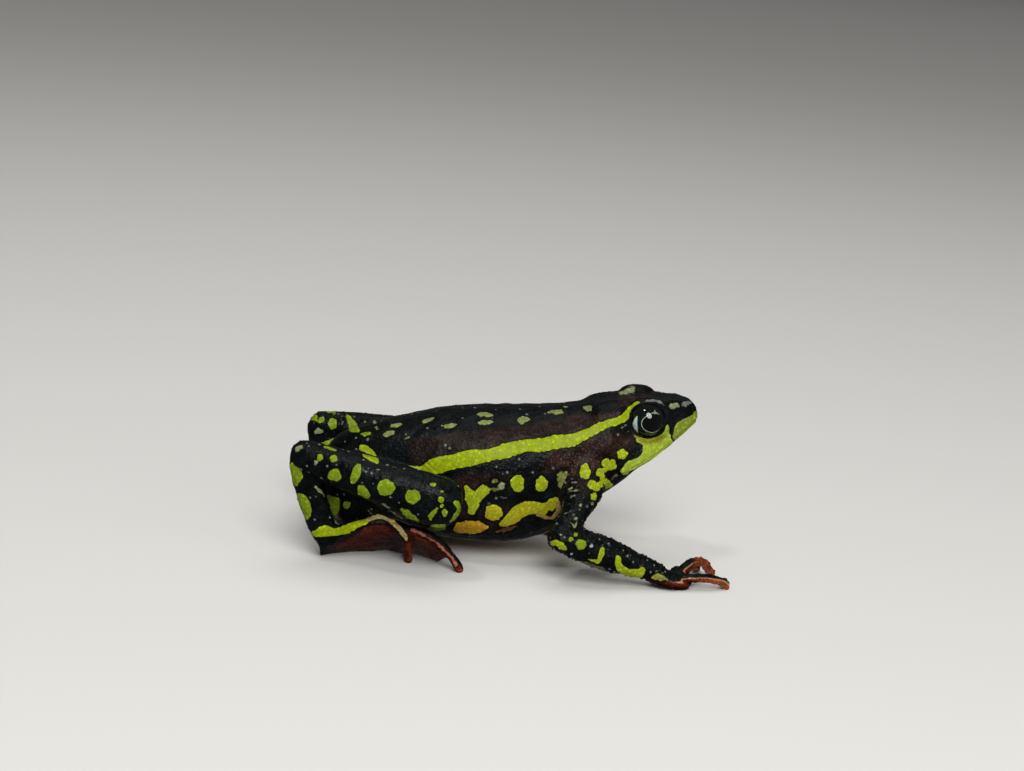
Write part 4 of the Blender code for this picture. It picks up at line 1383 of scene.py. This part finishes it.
# The upper edge of the brown band along the back, as (x, y) in the photograph, and the pixels across
# over which it fades in at the rear, turns redder and fades out in front.
BAND_TOP = [
    (405, 440), (412, 438.8), (447, 434), (482, 429), (516, 426), (548, 419.6), (580, 414.8), (604, 413),
    (625, 408)]
BAND_REAR = (400, 424)
BAND_RED = (540, 600)
BAND_FRONT = (618, 632)
SEEN_FROM = (-0.35, 0.05)
# The pixels down over which the shoulder stops being as brown as the flank.
SHOULDER_BROWN_END = (482, 500)
# Softer brown clouds, as (x, y, width, height, strength, reddish) in the photograph.
CLOUDS = [
    (480, 482, 80, 22, 0.75, 0.2), (575, 462, 66, 26, 0.95, 0.8), (612, 444, 60, 28, 0.85, 0.5),
    (462, 503, 24, 34, 0.6, 0.3), (500, 520, 60, 30, 0.5, 0.3), (575, 492, 40, 26, 0.6, 0.5),
    (632, 398, 40, 18, 0.5, 0.6),
]

# The belly's colour: how far out it reaches, how steeply the skin has to face down, how far round from
# the camera it stays, and the marbling's wavelength. The same for the browner undersides of the limbs.
BELLY_HALF_WIDTH = (3.2, 4.2)
BELLY_DOWN = (0.5, 0.74)
# The belly's colour stays off the skin turned to the camera, so the belly's edge in view stays black: a
# painted shade under the body.
BELLY_HIDDEN = (-0.05, 0.16)
MARBLE_LENGTH = 3.2
LIMB_DOWN = (0.55, 0.85)
LIMB_HIDDEN = (-0.4, -0.12)

# Where the hand's colours start or end, in millimetres from the wrist: the red, the palm, and the bare red
# round the inner fingers. The foot's sole and toes, in millimetres ahead of its rear end.
HAND_RED_FROM = (0.8, 2.4)
PALM_END = (3.0, 4.0)
BARE_FROM = (3.2, 4.2)
SOLE_FROM = (0.9, 1.8)
SOLE_SHADE_END = 7.5
TOES_FROM = (7.6, 8.6)


def mixed(colour, other, share):
    """Colours moved towards another by each point's share."""
    share = np.clip(share, 0.0, 1.0)[:, None]
    return colour + (other - colour) * share


def skin_colours(markings):
    """The skin's own colour under the markings, and how many rosy grains it bears."""
    points = markings.points
    pixels = markings.pixels
    across, down = pixels.T
    body = markings.on_body
    patchy = waves(points, 2.6, SEED + 7)
    colour = np.tile(BLACK, (len(points), 1))
    colour = mixed(colour, BLUE_BLACK, 0.5 + 0.35 * waves(points, 5.0, SEED + 8))
    shoulder = markings.on_part("upper_arm") * (1.0 - smooth(*SHOULDER_BROWN_END, down))
    seen = smooth(*SEEN_FROM, markings.facing) * np.maximum(body, shoulder)
    top = np.interp(across, *np.array(BAND_TOP).T)
    under_top = smooth(-2.0, 3.0, down - top + 1.2 * patchy)
    fore = smooth(*BAND_REAR, across) * (1.0 - smooth(*BAND_FRONT, across))
    stripe = np.array(STROKES["stripe"][1])
    middle = np.interp(across, stripe[:, 0], stripe[:, 1])
    above_stripe = 1.0 - smooth(-3.0, 3.0, down - middle)
    band = under_top * fore * above_stripe * seen
    colour = mixed(colour, BROWN, band * (0.8 + 0.12 * patchy))
    colour = mixed(colour, RED_BROWN, band * smooth(*BAND_RED, across) * 0.5)
    rosy = np.zeros(len(points))
    for x, y, width, height, strength, reddish in CLOUDS:
        away = np.hypot((across - x) / width * 2, (down - y) / height * 2)
        share = (1.0 - smooth(0.45, 1.25, away + 0.16 * patchy)) * seen * strength
        share *= 1.0 - 0.75 * band
        rosy = np.maximum(rosy, share * reddish)
        colour = mixed(colour, BROWN * (1 - reddish) + RED_BROWN * reddish, share)
    downward = -markings.ways[:, 2]
    below = smooth(*BELLY_DOWN, downward + 0.1 * patchy) * body
    # The belly's edge in view keeps the dark skin: painted shade under the body.
    below *= 1.0 - smooth(*BELLY_HIDDEN, markings.facing)
    below *= 1.0 - smooth(*BELLY_HALF_WIDTH, np.abs(points[:, 1]))
    marble = smooth(-0.1, 0.5, waves(points, MARBLE_LENGTH, SEED + 11, 9) - 0.35)
    colour = mixed(colour, BELLY, below * (1.0 - 0.9 * marble))
    under = smooth(*LIMB_DOWN, downward + 0.15 * patchy) * ~body
    under *= 1.0 - smooth(*LIMB_HIDDEN, markings.facing)
    colour = mixed(colour, UNDER_LIMB, under * 0.7)
    colour = with_foot(with_hand(colour, markings), markings)
    return colour, rosy * (1.0 - under) * (1.0 - below)


def with_hand(colour, markings):
    """The colours of the palm and fingers added, read on the right hand."""
    hand = markings.on_part("hand")
    tilt = rough_tilt(markings)
    away = markings.places - at_joint(RIGHT, "wrist")
    forward, outward = hand_axes(RIGHT)
    ahead = away @ forward
    aside = away @ outward
    reach = np.hypot(ahead, aside)
    bare = smooth(*BARE_FROM, reach) * (1.0 - smooth(1.2, 2.2, ahead - 1.6 * np.abs(aside)))
    black_top = smooth(0.5, 0.62, tilt) * (1.0 - 0.85 * smooth(0.35, 0.75, bare))
    # A pale line along the fingers' upper edge is a painted highlight; their lower side is paler skin.
    edge = gauss(tilt - 0.46, 0.13) * (1.0 - bare)
    digit = mixed(DIGIT, DIGIT_PALE_AND_SHEEN, 0.75 * edge + 0.3 * smooth(0.3, 0.8, -tilt))
    colour = mixed(colour, digit, hand * smooth(*HAND_RED_FROM, reach) * (1.0 - black_top))
    # The palm's red turns darker where it faces down: painted shade under the hand.
    palm = hand * (1.0 - smooth(*PALM_END, reach)) * (1.0 - smooth(0.25, 0.4, tilt))
    return mixed(colour, mixed(SOLE_RED * 1.6, SOLE_RED * 0.25, smooth(-0.1, 0.5, -tilt)), palm)


def with_foot(colour, markings):
    """The colours of the sole and toes added, read on the right foot."""
    foot = markings.on_part("foot")
    tilt = rough_tilt(markings)
    ahead = markings.places[:, 0] - at_joint(RIGHT, "foot")[0]
    across, down = markings.pixels.T
    below_line = down - np.interp(across, *np.array(SOLE_TOP).T)
    sole = smooth(0.0, 0.3, -tilt) * smooth(*SOLE_FROM, ahead)
    sole *= np.where(across < SOLE_TOP[-1][0], smooth(-1.0, 2.0, below_line), 1.0)
    # Painted light and shade on the sole: a brighter red at its lit apex, and a darker red in front, where
    # the arch shades it.
    middle, half_width, half_height = SOLE_LIT_PX
    painted_light = gauss(across - middle, half_width) * gauss(below_line, half_height)
    red = mixed(SOLE_RED, SOLE_RED * 2.8, painted_light)
    red = mixed(red, SOLE_RED * 0.3, 0.8 * smooth(*SOLE_SHADE_PX, across) * (ahead < SOLE_SHADE_END))
    colour = mixed(colour, red, foot * sole)
    salmon = smooth(*TOES_FROM, ahead) * (1.0 - smooth(0.2, 0.4, tilt)) * foot
    return mixed(colour, DIGIT * 0.7, salmon * smooth(-0.6, -0.2, tilt))


def rough_tilt(markings):
    """How far each point faces up, made a little uneven so that its colours have no sharp edge."""
    return markings.ways[:, 2] + 0.06 * waves(markings.places, 0.9, SEED + 12)


# The pads lie below these heights, and face up less than this.
PADS_BELOW = (0.7, 1.3)
PADS_FACING = (0.35, 0.6)


def wetness(markings):
    """Where the skin is smooth and moist: the pads of the fingers and toes."""
    digits = markings.on_part("hand") | markings.on_part("foot")
    low = 1.0 - smooth(*PADS_BELOW, markings.points[:, 2])
    return digits * low * (1.0 - smooth(*PADS_FACING, markings.ways[:, 2]))


# Small bumps on the skin: how many lie on a square millimetre of each part, and their sizes.
BUMPS_PER_MM2 = {"torso": 0.9, "head": 0.5, "upper_arm": 5.0, "forearm": 5.0, "hand": 5.0, "thigh": 2.0,
                 "shank": 2.4, "tarsus": 3.4, "foot": 3.0}
BUMP_RADIUS = (0.13, 0.25)
BUMP_HEIGHT = (0.02, 0.085)
BUMP_KEENNESS = {"torso": 0.45, "head": 0.35, "upper_arm": 1.4, "forearm": 1.8, "hand": 1.6, "thigh": 0.6,
                 "shank": 0.8, "tarsus": 1.0, "foot": 0.7}
# The share of bumps with a pale tip, partly pale skin and partly a painted glint.
PALE_TIP_SHARE = 0.18
PLAIN_PARTS = {"head", "hand", "foot"}
SKIN_WOBBLE = 0.025
WOBBLE_LENGTH = 1.3
MARK_SWELL = 0.035
MARK_SWELL_FROM = (-0.05, 0.25)
BUMPS_OFF_EYE = (1.7, 2.1)

# The fine folds of loose skin at the top of the arm: their place in the photograph, spacing and depth.
ARM_FOLDS = (573, 494, 11, 16)
ARM_FOLD_SPACING = 0.42
ARM_FOLD_DEPTH = 0.035


def point_areas(points, triangles):
    """The skin's area that falls to each point."""
    a, b, c = (points[column] for column in triangles.T)
    areas = np.linalg.norm(np.cross(b - a, c - a), axis=1) / 6
    return sum(np.bincount(column, areas, len(points)) for column in triangles.T)


def bumps(mesh, points, labels):
    """The height of the small bumps at each point, and how much of a pale tip it carries; the tips are partly
    pale skin and partly painted glints.
    """
    random = np.random.default_rng(SEED + 30)
    thickness = np.array([BUMPS_PER_MM2[plain_name(node)] for node in NODES])
    chance = point_areas(points, read_triangles(mesh)) * thickness[labels]
    chance[points[:, 2] < 0.3] = 0.0
    plain = np.isin(labels, [LABEL[node] for node in NODES if plain_name(node) in PLAIN_PARTS])
    chosen = np.nonzero(random.random(len(points)) < chance)[0]
    radius = random.uniform(*BUMP_RADIUS, len(chosen))
    height = random.uniform(*BUMP_HEIGHT, len(chosen))
    pale = (random.random(len(chosen)) < PALE_TIP_SHARE) & ~plain[chosen]
    tree = tree_of(points[chosen])
    keen = np.array([BUMP_KEENNESS[plain_name(node)] for node in NODES])[labels[chosen]]
    height *= keen
    rise = np.zeros(len(points))
    tip = np.zeros(len(points))
    for index, place in enumerate(points.tolist()):
        _, number, distance = tree.find(place)
        if distance < radius[number]:
            fall = 1.0 - (distance / radius[number]) ** 2
            rise[index] = height[number] * fall * fall
            if pale[number]:
                tip[index] = fall
    return rise, tip


# Creases in the skin, as lines of (x, y) in the photograph, with their depth and half width.
CREASES = [
    [(566, 497), (573, 494), (581, 494)], [(565, 501), (573, 498), (582, 498)],
    [(566, 505), (574, 502), (581, 503)], [(570, 509), (576, 506.5), (581, 507.5)],
    [(418, 465), (421, 471), (426, 476)], [(423, 464), (427, 470), (432, 475)],
    [(428, 463), (432, 468), (437, 472)],
]
CREASE_DEPTH = 0.06
CREASE_WIDTH = 0.09
CREASE_SAMPLES = 12
CREASE_REACH = 1.0


def crease_depths(markings):
    total = np.zeros(len(markings.points))
    for line in CREASES:
        path = [(x, y, 0.0) for x, y in line]
        rows = between(path, CREASE_SAMPLES)[:, :2]
        index, pixels = markings.near_rays(rows, rows, CREASE_MARGIN, CREASE_REACH, 0.0)
        off = -stroke_distance(pixels, path) / PIXELS_PER_MM
        total[index] = np.maximum(total[index], CREASE_DEPTH * gauss(off, CREASE_WIDTH))
    return total


def arm_folds(markings):
    """The rise and fall of the loose skin at the top of the arm."""
    x, y, half_width, half_height = ARM_FOLDS
    away = np.hypot((markings.pixels[:, 0] - x) / half_width, (markings.pixels[:, 1] - y) / half_height)
    near = (1.0 - smooth(0.6, 1.2, away)) * smooth(0.0, 0.3, markings.facing)
    way = unit(CAMERA_UP + 0.25 * CAMERA_RIGHT)
    phase = markings.places @ way * 2 * math.pi / ARM_FOLD_SPACING
    phase += 1.6 * waves(markings.places, 2.0, SEED + 14)
    return ARM_FOLD_DEPTH * near * np.sin(phase)


def eased(values, start, end):
    """Values past start drawn in so that they never pass end."""
    room = end - start
    past = np.maximum((values - start) / room, 0.0)
    beyond = values * np.sign(room) > start * np.sign(room)
    return np.where(beyond, start + room * (1 - np.exp(-past)), values)


# How far inside the box the skin starts to be drawn in.
EASE_DEPTH = 0.35


def fitted(points, low, high):
    """Drawn in softly where the skin would leave the box of the solids."""
    points = points.copy()
    for axis in range(3):
        points[:, axis] = eased(points[:, axis], high[axis] - EASE_DEPTH, high[axis])
        if axis < 2:
            points[:, axis] = eased(points[:, axis], low[axis] + EASE_DEPTH, low[axis])
    return points


def eye_place(side):
    x, y, z = EYE_CENTRE
    return turned((x, y * side, z))[0]


def frame_shift():
    """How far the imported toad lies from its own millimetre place, read from the right eye's node."""
    low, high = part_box("eye_right")
    shift = (np.array(low) + np.array(high)) / 2 - eye_place(RIGHT) * MM
    return np.array([shift[0], shift[1], 0.0])


SHIFT = frame_shift()


def to_frame(points):
    return points * MM + SHIFT


def put_values(mesh, name, values):
    mesh.attributes.new(name, "FLOAT", "POINT").data.foreach_set("value", values.astype(np.float32))


def put_colours(mesh, name, colours):
    rows = np.column_stack([colours, np.ones(len(colours))]).astype(np.float32)
    mesh.attributes.new(name, "FLOAT_COLOR", "POINT").data.foreach_set("color", rows.ravel())


class Shader:
    """A material being wired up, with short ways to add its nodes."""

    def __init__(self, name):
        self.material = bpy.data.materials.new(name)
        self.material.use_nodes = True
        self.tree = self.material.node_tree
        self.surface = self.tree.nodes["Principled BSDF"]

    def node(self, kind, **values):
        made = self.tree.nodes.new(kind)
        for key, value in values.items():
            setattr(made, key, value)
        return made

    def link(self, source, target):
        self.tree.links.new(source, target)

    def fill(self, target, value):
        """Sets a socket, or links it if the value is another node's output."""
        if isinstance(value, bpy.types.NodeSocket):
            self.link(value, target)
        elif isinstance(value, (tuple, list, np.ndarray)) and len(value) == 3 and target.type == "RGBA":
            target.default_value = (*value, 1.0)
        else:
            target.default_value = value

    def attribute(self, name):
        return self.node("ShaderNodeAttribute", attribute_name=name)

    def math(self, operation, *values):
        made = self.node("ShaderNodeMath", operation=operation)
        for socket, value in zip(made.inputs, values):
            self.fill(socket, value)
        return made.outputs[0]

    def ramp(self, value, low, high, start=0.0, end=1.0):
        made = self.node("ShaderNodeMapRange", interpolation_type="SMOOTHSTEP")
        for index, given in enumerate((value, low, high, start, end)):
            self.fill(made.inputs[index], given)
        return made.outputs[0]

    def mix(self, share, first, second, blend="MIX"):
        made = self.node("ShaderNodeMix", data_type="RGBA", blend_type=blend)
        self.fill(made.inputs[0], share)
        self.fill(made.inputs[6], first)
        self.fill(made.inputs[7], second)
        return made.outputs[2]

    def millimetres(self):
        """The place on the object, in millimetres."""
        source = self.node("ShaderNodeTexCoord")
        scaled = self.node("ShaderNodeVectorMath", operation="SCALE")
        scaled.inputs["Scale"].default_value = 1 / MM
        self.link(source.outputs["Object"], scaled.inputs[0])
        return scaled.outputs[0]

    def noise(self, place, scale, detail, roughness):
        made = self.node("ShaderNodeTexNoise")
        self.link(place, made.inputs["Vector"])
        made.inputs["Scale"].default_value = scale
        made.inputs["Detail"].default_value = detail
        made.inputs["Roughness"].default_value = roughness
        return made.outputs[0]

    def cells(self, place, scale, smoothness):
        made = self.node("ShaderNodeTexVoronoi", feature="SMOOTH_F1")
        self.link(place, made.inputs["Vector"])
        made.inputs["Scale"].default_value = scale
        made.inputs["Smoothness"].default_value = smoothness
        return made.outputs["Distance"]

    def shaded(self, colour, *levels):
        """The colour multiplied by ramps, each given as (value, low, high, start, end)."""
        for level in levels:
            colour = self.mix(1.0, colour, self.ramp(*level), "MULTIPLY")
        return colour

    def plus(self, value, other, factor):
        """The value with a share of another added."""
        return self.math("ADD", value, self.math("MULTIPLY", other, factor))


def skin_material():
    """Grains, lumps and fine noise break up the markings' edges and the colours on both sides of them. The
    grains and lumps also make the raised middles of the granules lighter and the low lines between them
    darker, a painted highlight and painted shade, and a painted highlight runs along each marking's rim.
    """
    shader = Shader("toad_skin")
    place = shader.millimetres()
    depth, tip, rosy, wet = (shader.attribute(name).outputs["Fac"]
                             for name in ("mark", "pale_tip", "rosy", "wet"))
    mark_colour, ground = (shader.attribute(name).outputs["Color"]
                           for name in ("mark_colour", "skin_colour"))
    grain = shader.cells(place, 4.2, 0.6)
    lumps = shader.cells(place, 2.3, 0.25)
    fine = shader.noise(place, 6.0, 3.0, 0.6)
    broad = shader.noise(place, 1.1, 3.0, 0.55)
    ragged = shader.plus(depth, shader.math("SUBTRACT", fine, 0.5), 0.13)
    ragged = shader.plus(ragged, shader.math("SUBTRACT", 0.3, lumps), 0.13)
    # Lighter middles of the granules and darker lines between them: painted highlight and painted shade that
    # follow the bumps.
    mottled = shader.shaded(ground, (broad, 0.32, 0.68, 0.6, 1.4), (fine, 0.3, 0.7, 0.7, 1.35),
                            (grain, 0.1, 0.5, 1.3, 0.7))
    rosy_spots = shader.math("MAXIMUM", shader.ramp(grain, 0.28, 0.14), shader.ramp(lumps, 0.24, 0.08))
    mottled = shader.mix(shader.math("MULTIPLY", rosy_spots, rosy), mottled, ROSY_GRAIN)
    # Pale granule tips: partly pale skin, partly painted glints.
    mottled = shader.mix(shader.ramp(tip, 0.45, 0.9, 0.0, 0.8), mottled, SPECK)
    dark_rim = shader.math("MULTIPLY", shader.ramp(ragged, -0.26, -0.07), 0.85)
    rimmed = shader.mix(dark_rim, mottled, BLACK * 0.8)
    # The marks' granules lighter in their middles and darker between them: painted highlight and painted
    # shade.
    marked = shader.shaded(mark_colour, (lumps, 0.1, 0.55, 1.1, 0.78), (grain, 0.1, 0.45, 1.12, 0.8),
                           (fine, 0.3, 0.7, 0.88, 1.1), (broad, 0.3, 0.7, 0.9, 1.08))
    # A painted highlight along the raised rim just inside each marking's edge.
    rim_highlight = shader.math("MULTIPLY", shader.ramp(ragged, 0.03, 0.08), shader.ramp(ragged, 0.2, 0.08))
    highlighted = shader.mix(1.0, marked, RIM_HIGHLIGHT, "MULTIPLY")
    marked = shader.mix(shader.math("MULTIPLY", rim_highlight, 0.7), marked, highlighted)
    colour = shader.mix(shader.ramp(ragged, -0.03, 0.035), rimmed, marked)
    rough = shader.plus(shader.ramp(fine, 0.3, 0.7, 0.24, 0.40), wet, -0.16)
    shader.link(colour, shader.surface.inputs["Base Color"])
    shader.link(rough, shader.surface.inputs["Roughness"])
    shader.surface.inputs["Specular IOR Level"].default_value = 0.065
    height = shader.math("MULTIPLY", shader.ramp(grain, 0.08, 0.5), -0.6)
    height = shader.plus(height, shader.ramp(lumps, 0.1, 0.6), -0.5)
    height = shader.plus(height, fine, 0.25)
    bump = shader.node("ShaderNodeBump")
    bump.inputs["Strength"].default_value = 0.5
    bump.inputs["Distance"].default_value = 0.06 * MM
    shader.link(height, bump.inputs["Height"])
    shader.link(bump.outputs[0], shader.surface.inputs["Normal"])
    return shader.material


# The eyeball, and the thin pale ring round its pupil. Angles are measured from the gaze.
PUPIL_BLACK = (0.001, 0.0014, 0.0012)
IRIS_BLACK = (0.0025, 0.0045, 0.0038)
RING_COLOURS = ((0.26, 0.32, 0.22), (0.44, 0.50, 0.40))
# The pale colour of the eye's painted reflections.
EYE_REFLECTION = (0.50, 0.60, 0.56)
GAZE = unit((0.17, 0.985, -0.014))
PUPIL_ANGLES = (math.radians(41.5), math.radians(32.5))
RING_HALF_WIDTH = math.radians(1.6)
RING_BRIGHTEST = math.radians(222.0)
CORNEA_ANGLE = math.radians(42.0)
CORNEA_RISE = 0.05
EYE_RINGS = 180
EYE_SIDES = 180
RING_EDGE = (0.3, 1.3)
SPUR_STRENGTH = 0.52
# How strong the painted reflection low on the eye is.
LOW_REFLECTION_STRENGTH = 0.25
# Pale marks on the eye, as lines of (x, y, width) in the photograph: a painted reflection at the rear of the
# eye, the spur on the pupil's ring, and a fainter painted reflection of the band low on the eye.
EYE_REAR_REFLECTION = [(637, 416.5, 1), (635.6, 420.5, 3.4), (635, 425, 4.6), (636.2, 429, 3.2), (637.6, 432.5, 1)]
EYE_SPUR = [(654.6, 409, 0.5), (654.8, 411, 1.6), (655, 412.8, 3)]
EYE_SPUR_BASE = [(650.4, 413.6, 0.8), (655, 412.8, 2.2), (659.6, 414.4, 0.8)]
EYE_LOW_REFLECTION = [(650, 435.2, 0.6), (655.5, 434, 1), (660, 431.4, 0.6)]


def eye_material():
    shader = Shader("toad_eye")
    ring, white, iris = (shader.attribute(name).outputs["Fac"] for name in ("ring", "white", "iris"))
    fine = shader.noise(shader.millimetres(), 6.0, 3.0, 0.6)
    dark = shader.mix(iris, PUPIL_BLACK, IRIS_BLACK)
    bright = shader.mix(shader.ramp(fine, 0.3, 0.7), *RING_COLOURS)
    colour = shader.mix(shader.ramp(ring, 0.25, 0.75), dark, bright)
    # The painted reflections lighten the eye's colour.
    colour = shader.mix(white, colour, EYE_REFLECTION)
    shader.link(colour, shader.surface.inputs["Base Color"])
    shader.surface.inputs["Roughness"].default_value = 0.04
    shader.surface.inputs["Specular IOR Level"].default_value = 0.5
    return shader.material


def eyeball(side, material):
    """One eye: a ball with a low cornea, its rings centred on the gaze."""
    forward, upward = eye_axes(GAZE)
    angles = np.linspace(0, math.pi, EYE_RINGS + 1)[1:-1]
    spins = 2 * math.pi * np.arange(EYE_SIDES) / EYE_SIDES
    tilt = np.repeat(angles, EYE_SIDES)
    spin = np.tile(spins, len(angles))
    tilt = np.concatenate([tilt, [0.0, math.pi]])
    spin = np.concatenate([spin, [0.0, 0.0]])
    radius = EYE_RADIUS - CORNEA_RISE + CORNEA_RISE * (1.0 - smooth(0.0, CORNEA_ANGLE, tilt))
    ways = (np.outer(np.cos(tilt), GAZE) + np.outer(np.sin(tilt) * np.cos(spin), forward)
            + np.outer(np.sin(tilt) * np.sin(spin), upward))
    straight = np.array(EYE_CENTRE) + ways * radius[:, None]
    rings = straight[:-2].reshape(len(angles), EYE_SIDES, 3)
    points, faces = loft(rings, straight[-2], straight[-1])
    if side == RIGHT:
        points = points * MIRROR
    else:
        faces = [face[::-1] for face in faces]
    mesh = bpy.data.meshes.new("toad_eye_" + SIDE_WORDS[side])
    mesh.from_pydata(to_frame(turned(points)).tolist(), [], faces)
    mesh.shade_smooth()
    a, b = PUPIL_ANGLES
    limit = a * b / np.hypot(b * np.cos(spin), a * np.sin(spin))
    ring = 1.0 - smooth(*RING_EDGE, np.abs(tilt - limit) / RING_HALF_WIDTH)
    ring *= np.clip(0.6 + 0.6 * np.cos(spin - RING_BRIGHTEST), 0.0, 1.0)
    right = turned(straight * MIRROR)
    seen = towards_camera(right, turned_way(ways * MIRROR)) > 0
    pixels = pixels_of(right)
    spur = np.maximum(stroke_distance(pixels, EYE_SPUR), stroke_distance(pixels, EYE_SPUR_BASE))
    put_values(mesh, "ring", np.maximum(ring, SPUR_STRENGTH * seen * smooth(-0.4, 0.4, spur)))
    put_values(mesh, "iris", smooth(0.0, 0.1, tilt - limit))
    # Painted reflections, on the side in view only: a pale crescent at the rear of the eye and a faint arc
    # low on it.
    rear = smooth(-0.5, 0.6, stroke_distance(pixels, EYE_REAR_REFLECTION))
    low_reflection = LOW_REFLECTION_STRENGTH * smooth(-0.5, 0.4, stroke_distance(pixels, EYE_LOW_REFLECTION))
    put_values(mesh, "white", seen * np.maximum(rear, low_reflection))
    mesh.materials.append(material)
    ball = placed("toad_eye_" + SIDE_WORDS[side], mesh)
    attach(ball, "root")
    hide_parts("eye_" + SIDE_WORDS[side])


def make_skin():
    """The toad's one skin, from its forms to its markings, bumps and creases."""
    mesh, labels = base_skin()
    mesh, labels = with_fine_head(mesh, labels)
    points = read_points(mesh)
    head = labels == LABEL["head"]
    points = sculpted_head(points, read_normals(mesh), head)
    write_points(mesh, points)
    normals = read_normals(mesh)
    links = Links(mesh)
    markings = all_markings(mesh, points, normals, labels, links)
    colours, rosy = skin_colours(markings)
    rise, tip = bumps(mesh, points, labels)
    eyes = np.array([eye_place(side) for side in (RIGHT, LEFT)])
    from_eye = np.linalg.norm(points[:, None] - eyes, axis=2).min(1)
    off_eye = smooth(*BUMPS_OFF_EYE, from_eye)
    markings.depth = np.where(from_eye < SOCKET_CLEAR, NO_MARK, markings.depth)
    rise += SKIN_WOBBLE * waves(points, WOBBLE_LENGTH, SEED + 21, 9)
    rise += MARK_SWELL * smooth(*MARK_SWELL_FROM, markings.depth)
    rise -= crease_depths(markings)
    rise += arm_folds(markings)
    points = points + normals * (rise * off_eye)[:, None]
    low, high = [(np.array(corner) - SHIFT) / MM for corner in cad_box]
    points = fitted(points, low, high)
    points[:, 2] = np.maximum(points[:, 2], 0.0)
    write_points(mesh, to_frame(points))
    put_values(mesh, "mark", markings.depth)
    put_values(mesh, "pale_tip", tip)
    put_values(mesh, "rosy", rosy)
    put_values(mesh, "wet", wetness(markings))
    put_colours(mesh, "mark_colour", markings.colour)
    put_colours(mesh, "skin_colour", colours)
    mesh.shade_smooth()
    mesh.materials.append(skin_material())
    skin = placed("toad_skin", mesh)
    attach(skin, "root")
    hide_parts(*NODES)


def make_camera():
    data = bpy.data.cameras.new("camera")
    data.sensor_fit = "HORIZONTAL"
    data.sensor_width = SENSOR_WIDTH
    data.lens = FOCAL_PX / PHOTO_WIDTH * SENSOR_WIDTH
    data.clip_start, data.clip_end = CAMERA_CLIP
    camera = placed("camera", data)
    axes = Matrix([list(CAMERA_RIGHT), list(CAMERA_UP), list(CAMERA_BACK)]).transposed().to_4x4()
    camera.matrix_world = Matrix.Translation(Vector(to_frame(CAMERA_PLACE))) @ axes
    bpy.context.scene.camera = camera


# Soft studio lights: place, aim, size in metres, power in watts, and whether the right eye mirrors it.
LIGHTS = {
    "key": ((0.03, -0.295, 0.27), (0.0, 0.0, 0.01), 0.235, 1.5, True),
    "side": ((-0.127, -0.08, 0.37), (0.0, 0.0, 0.01), 0.05, 0.25, True),
    "fill": ((0.34, -0.20, 0.14), (0.0, 0.0, 0.01), 0.22, 0.22, False),
    "top": ((0.02, 0.10, 0.42), (0.0, 0.0, 0.0), 0.30, 0.4, False),
}
WORLD_GREY = 0.10
FLOOR_GREY = (0.56, 0.55, 0.525)
FLOOR_RADIUS = 8.0
FLOOR_SIDES = 96
# A broad light for the floor alone: its height, size and power.
ROOM_LIGHT = (2.6, 4.0, 26.0)


def make_lamp(name, place, aim, size, power):
    """A round soft light that the camera doesn't see."""
    data = bpy.data.lights.new(name, "AREA")
    data.shape = "DISK"
    data.size = size
    data.energy = power
    lamp = placed(name, data)
    way = Vector(place) - Vector(aim)
    lamp.matrix_world = Matrix.Translation(Vector(place)) @ way.to_track_quat("Z", "Y").to_matrix().to_4x4()
    lamp.visible_camera = False
    return lamp


def make_stage():
    """The floor, the grey world and the lights."""
    bpy.ops.mesh.primitive_circle_add(vertices=FLOOR_SIDES, radius=FLOOR_RADIUS, fill_type="NGON")
    floor = bpy.context.object
    floor.name = "floor"
    shader = Shader("floor")
    shader.surface.inputs["Base Color"].default_value = (*FLOOR_GREY, 1.0)
    shader.surface.inputs["Roughness"].default_value = 0.85
    shader.surface.inputs["Specular IOR Level"].default_value = 0.2
    floor.data.materials.append(shader.material)
    floor.visible_glossy = False
    world = bpy.data.worlds.new("world")
    world.use_nodes = True
    world.node_tree.nodes["Background"].inputs[0].default_value = (WORLD_GREY, WORLD_GREY, WORLD_GREY, 1.0)
    bpy.context.scene.world = world
    others = bpy.data.collections.new("lit_without_the_right_eye")
    for name in ("toad_skin", "toad_eye_left", "floor"):
        others.objects.link(bpy.data.objects[name])
    for name, (place, aim, size, power, in_eye) in LIGHTS.items():
        lamp = make_lamp(name, place, aim, size, power)
        if not in_eye:
            lamp.light_linking.receiver_collection = others
    floor_alone = bpy.data.collections.new("lit_floor")
    floor_alone.objects.link(floor)
    height, size, power = ROOM_LIGHT
    lamp = make_lamp("room", (0.0, 0.0, height), (0.0, 0.0, 0.0), size, power)
    lamp.light_linking.receiver_collection = floor_alone
    bpy.context.scene.view_settings.view_transform = "Standard"


make_skin()
eye_look = eye_material()
for eye_side in (RIGHT, LEFT):
    eyeball(eye_side, eye_look)
make_stage()
make_camera()
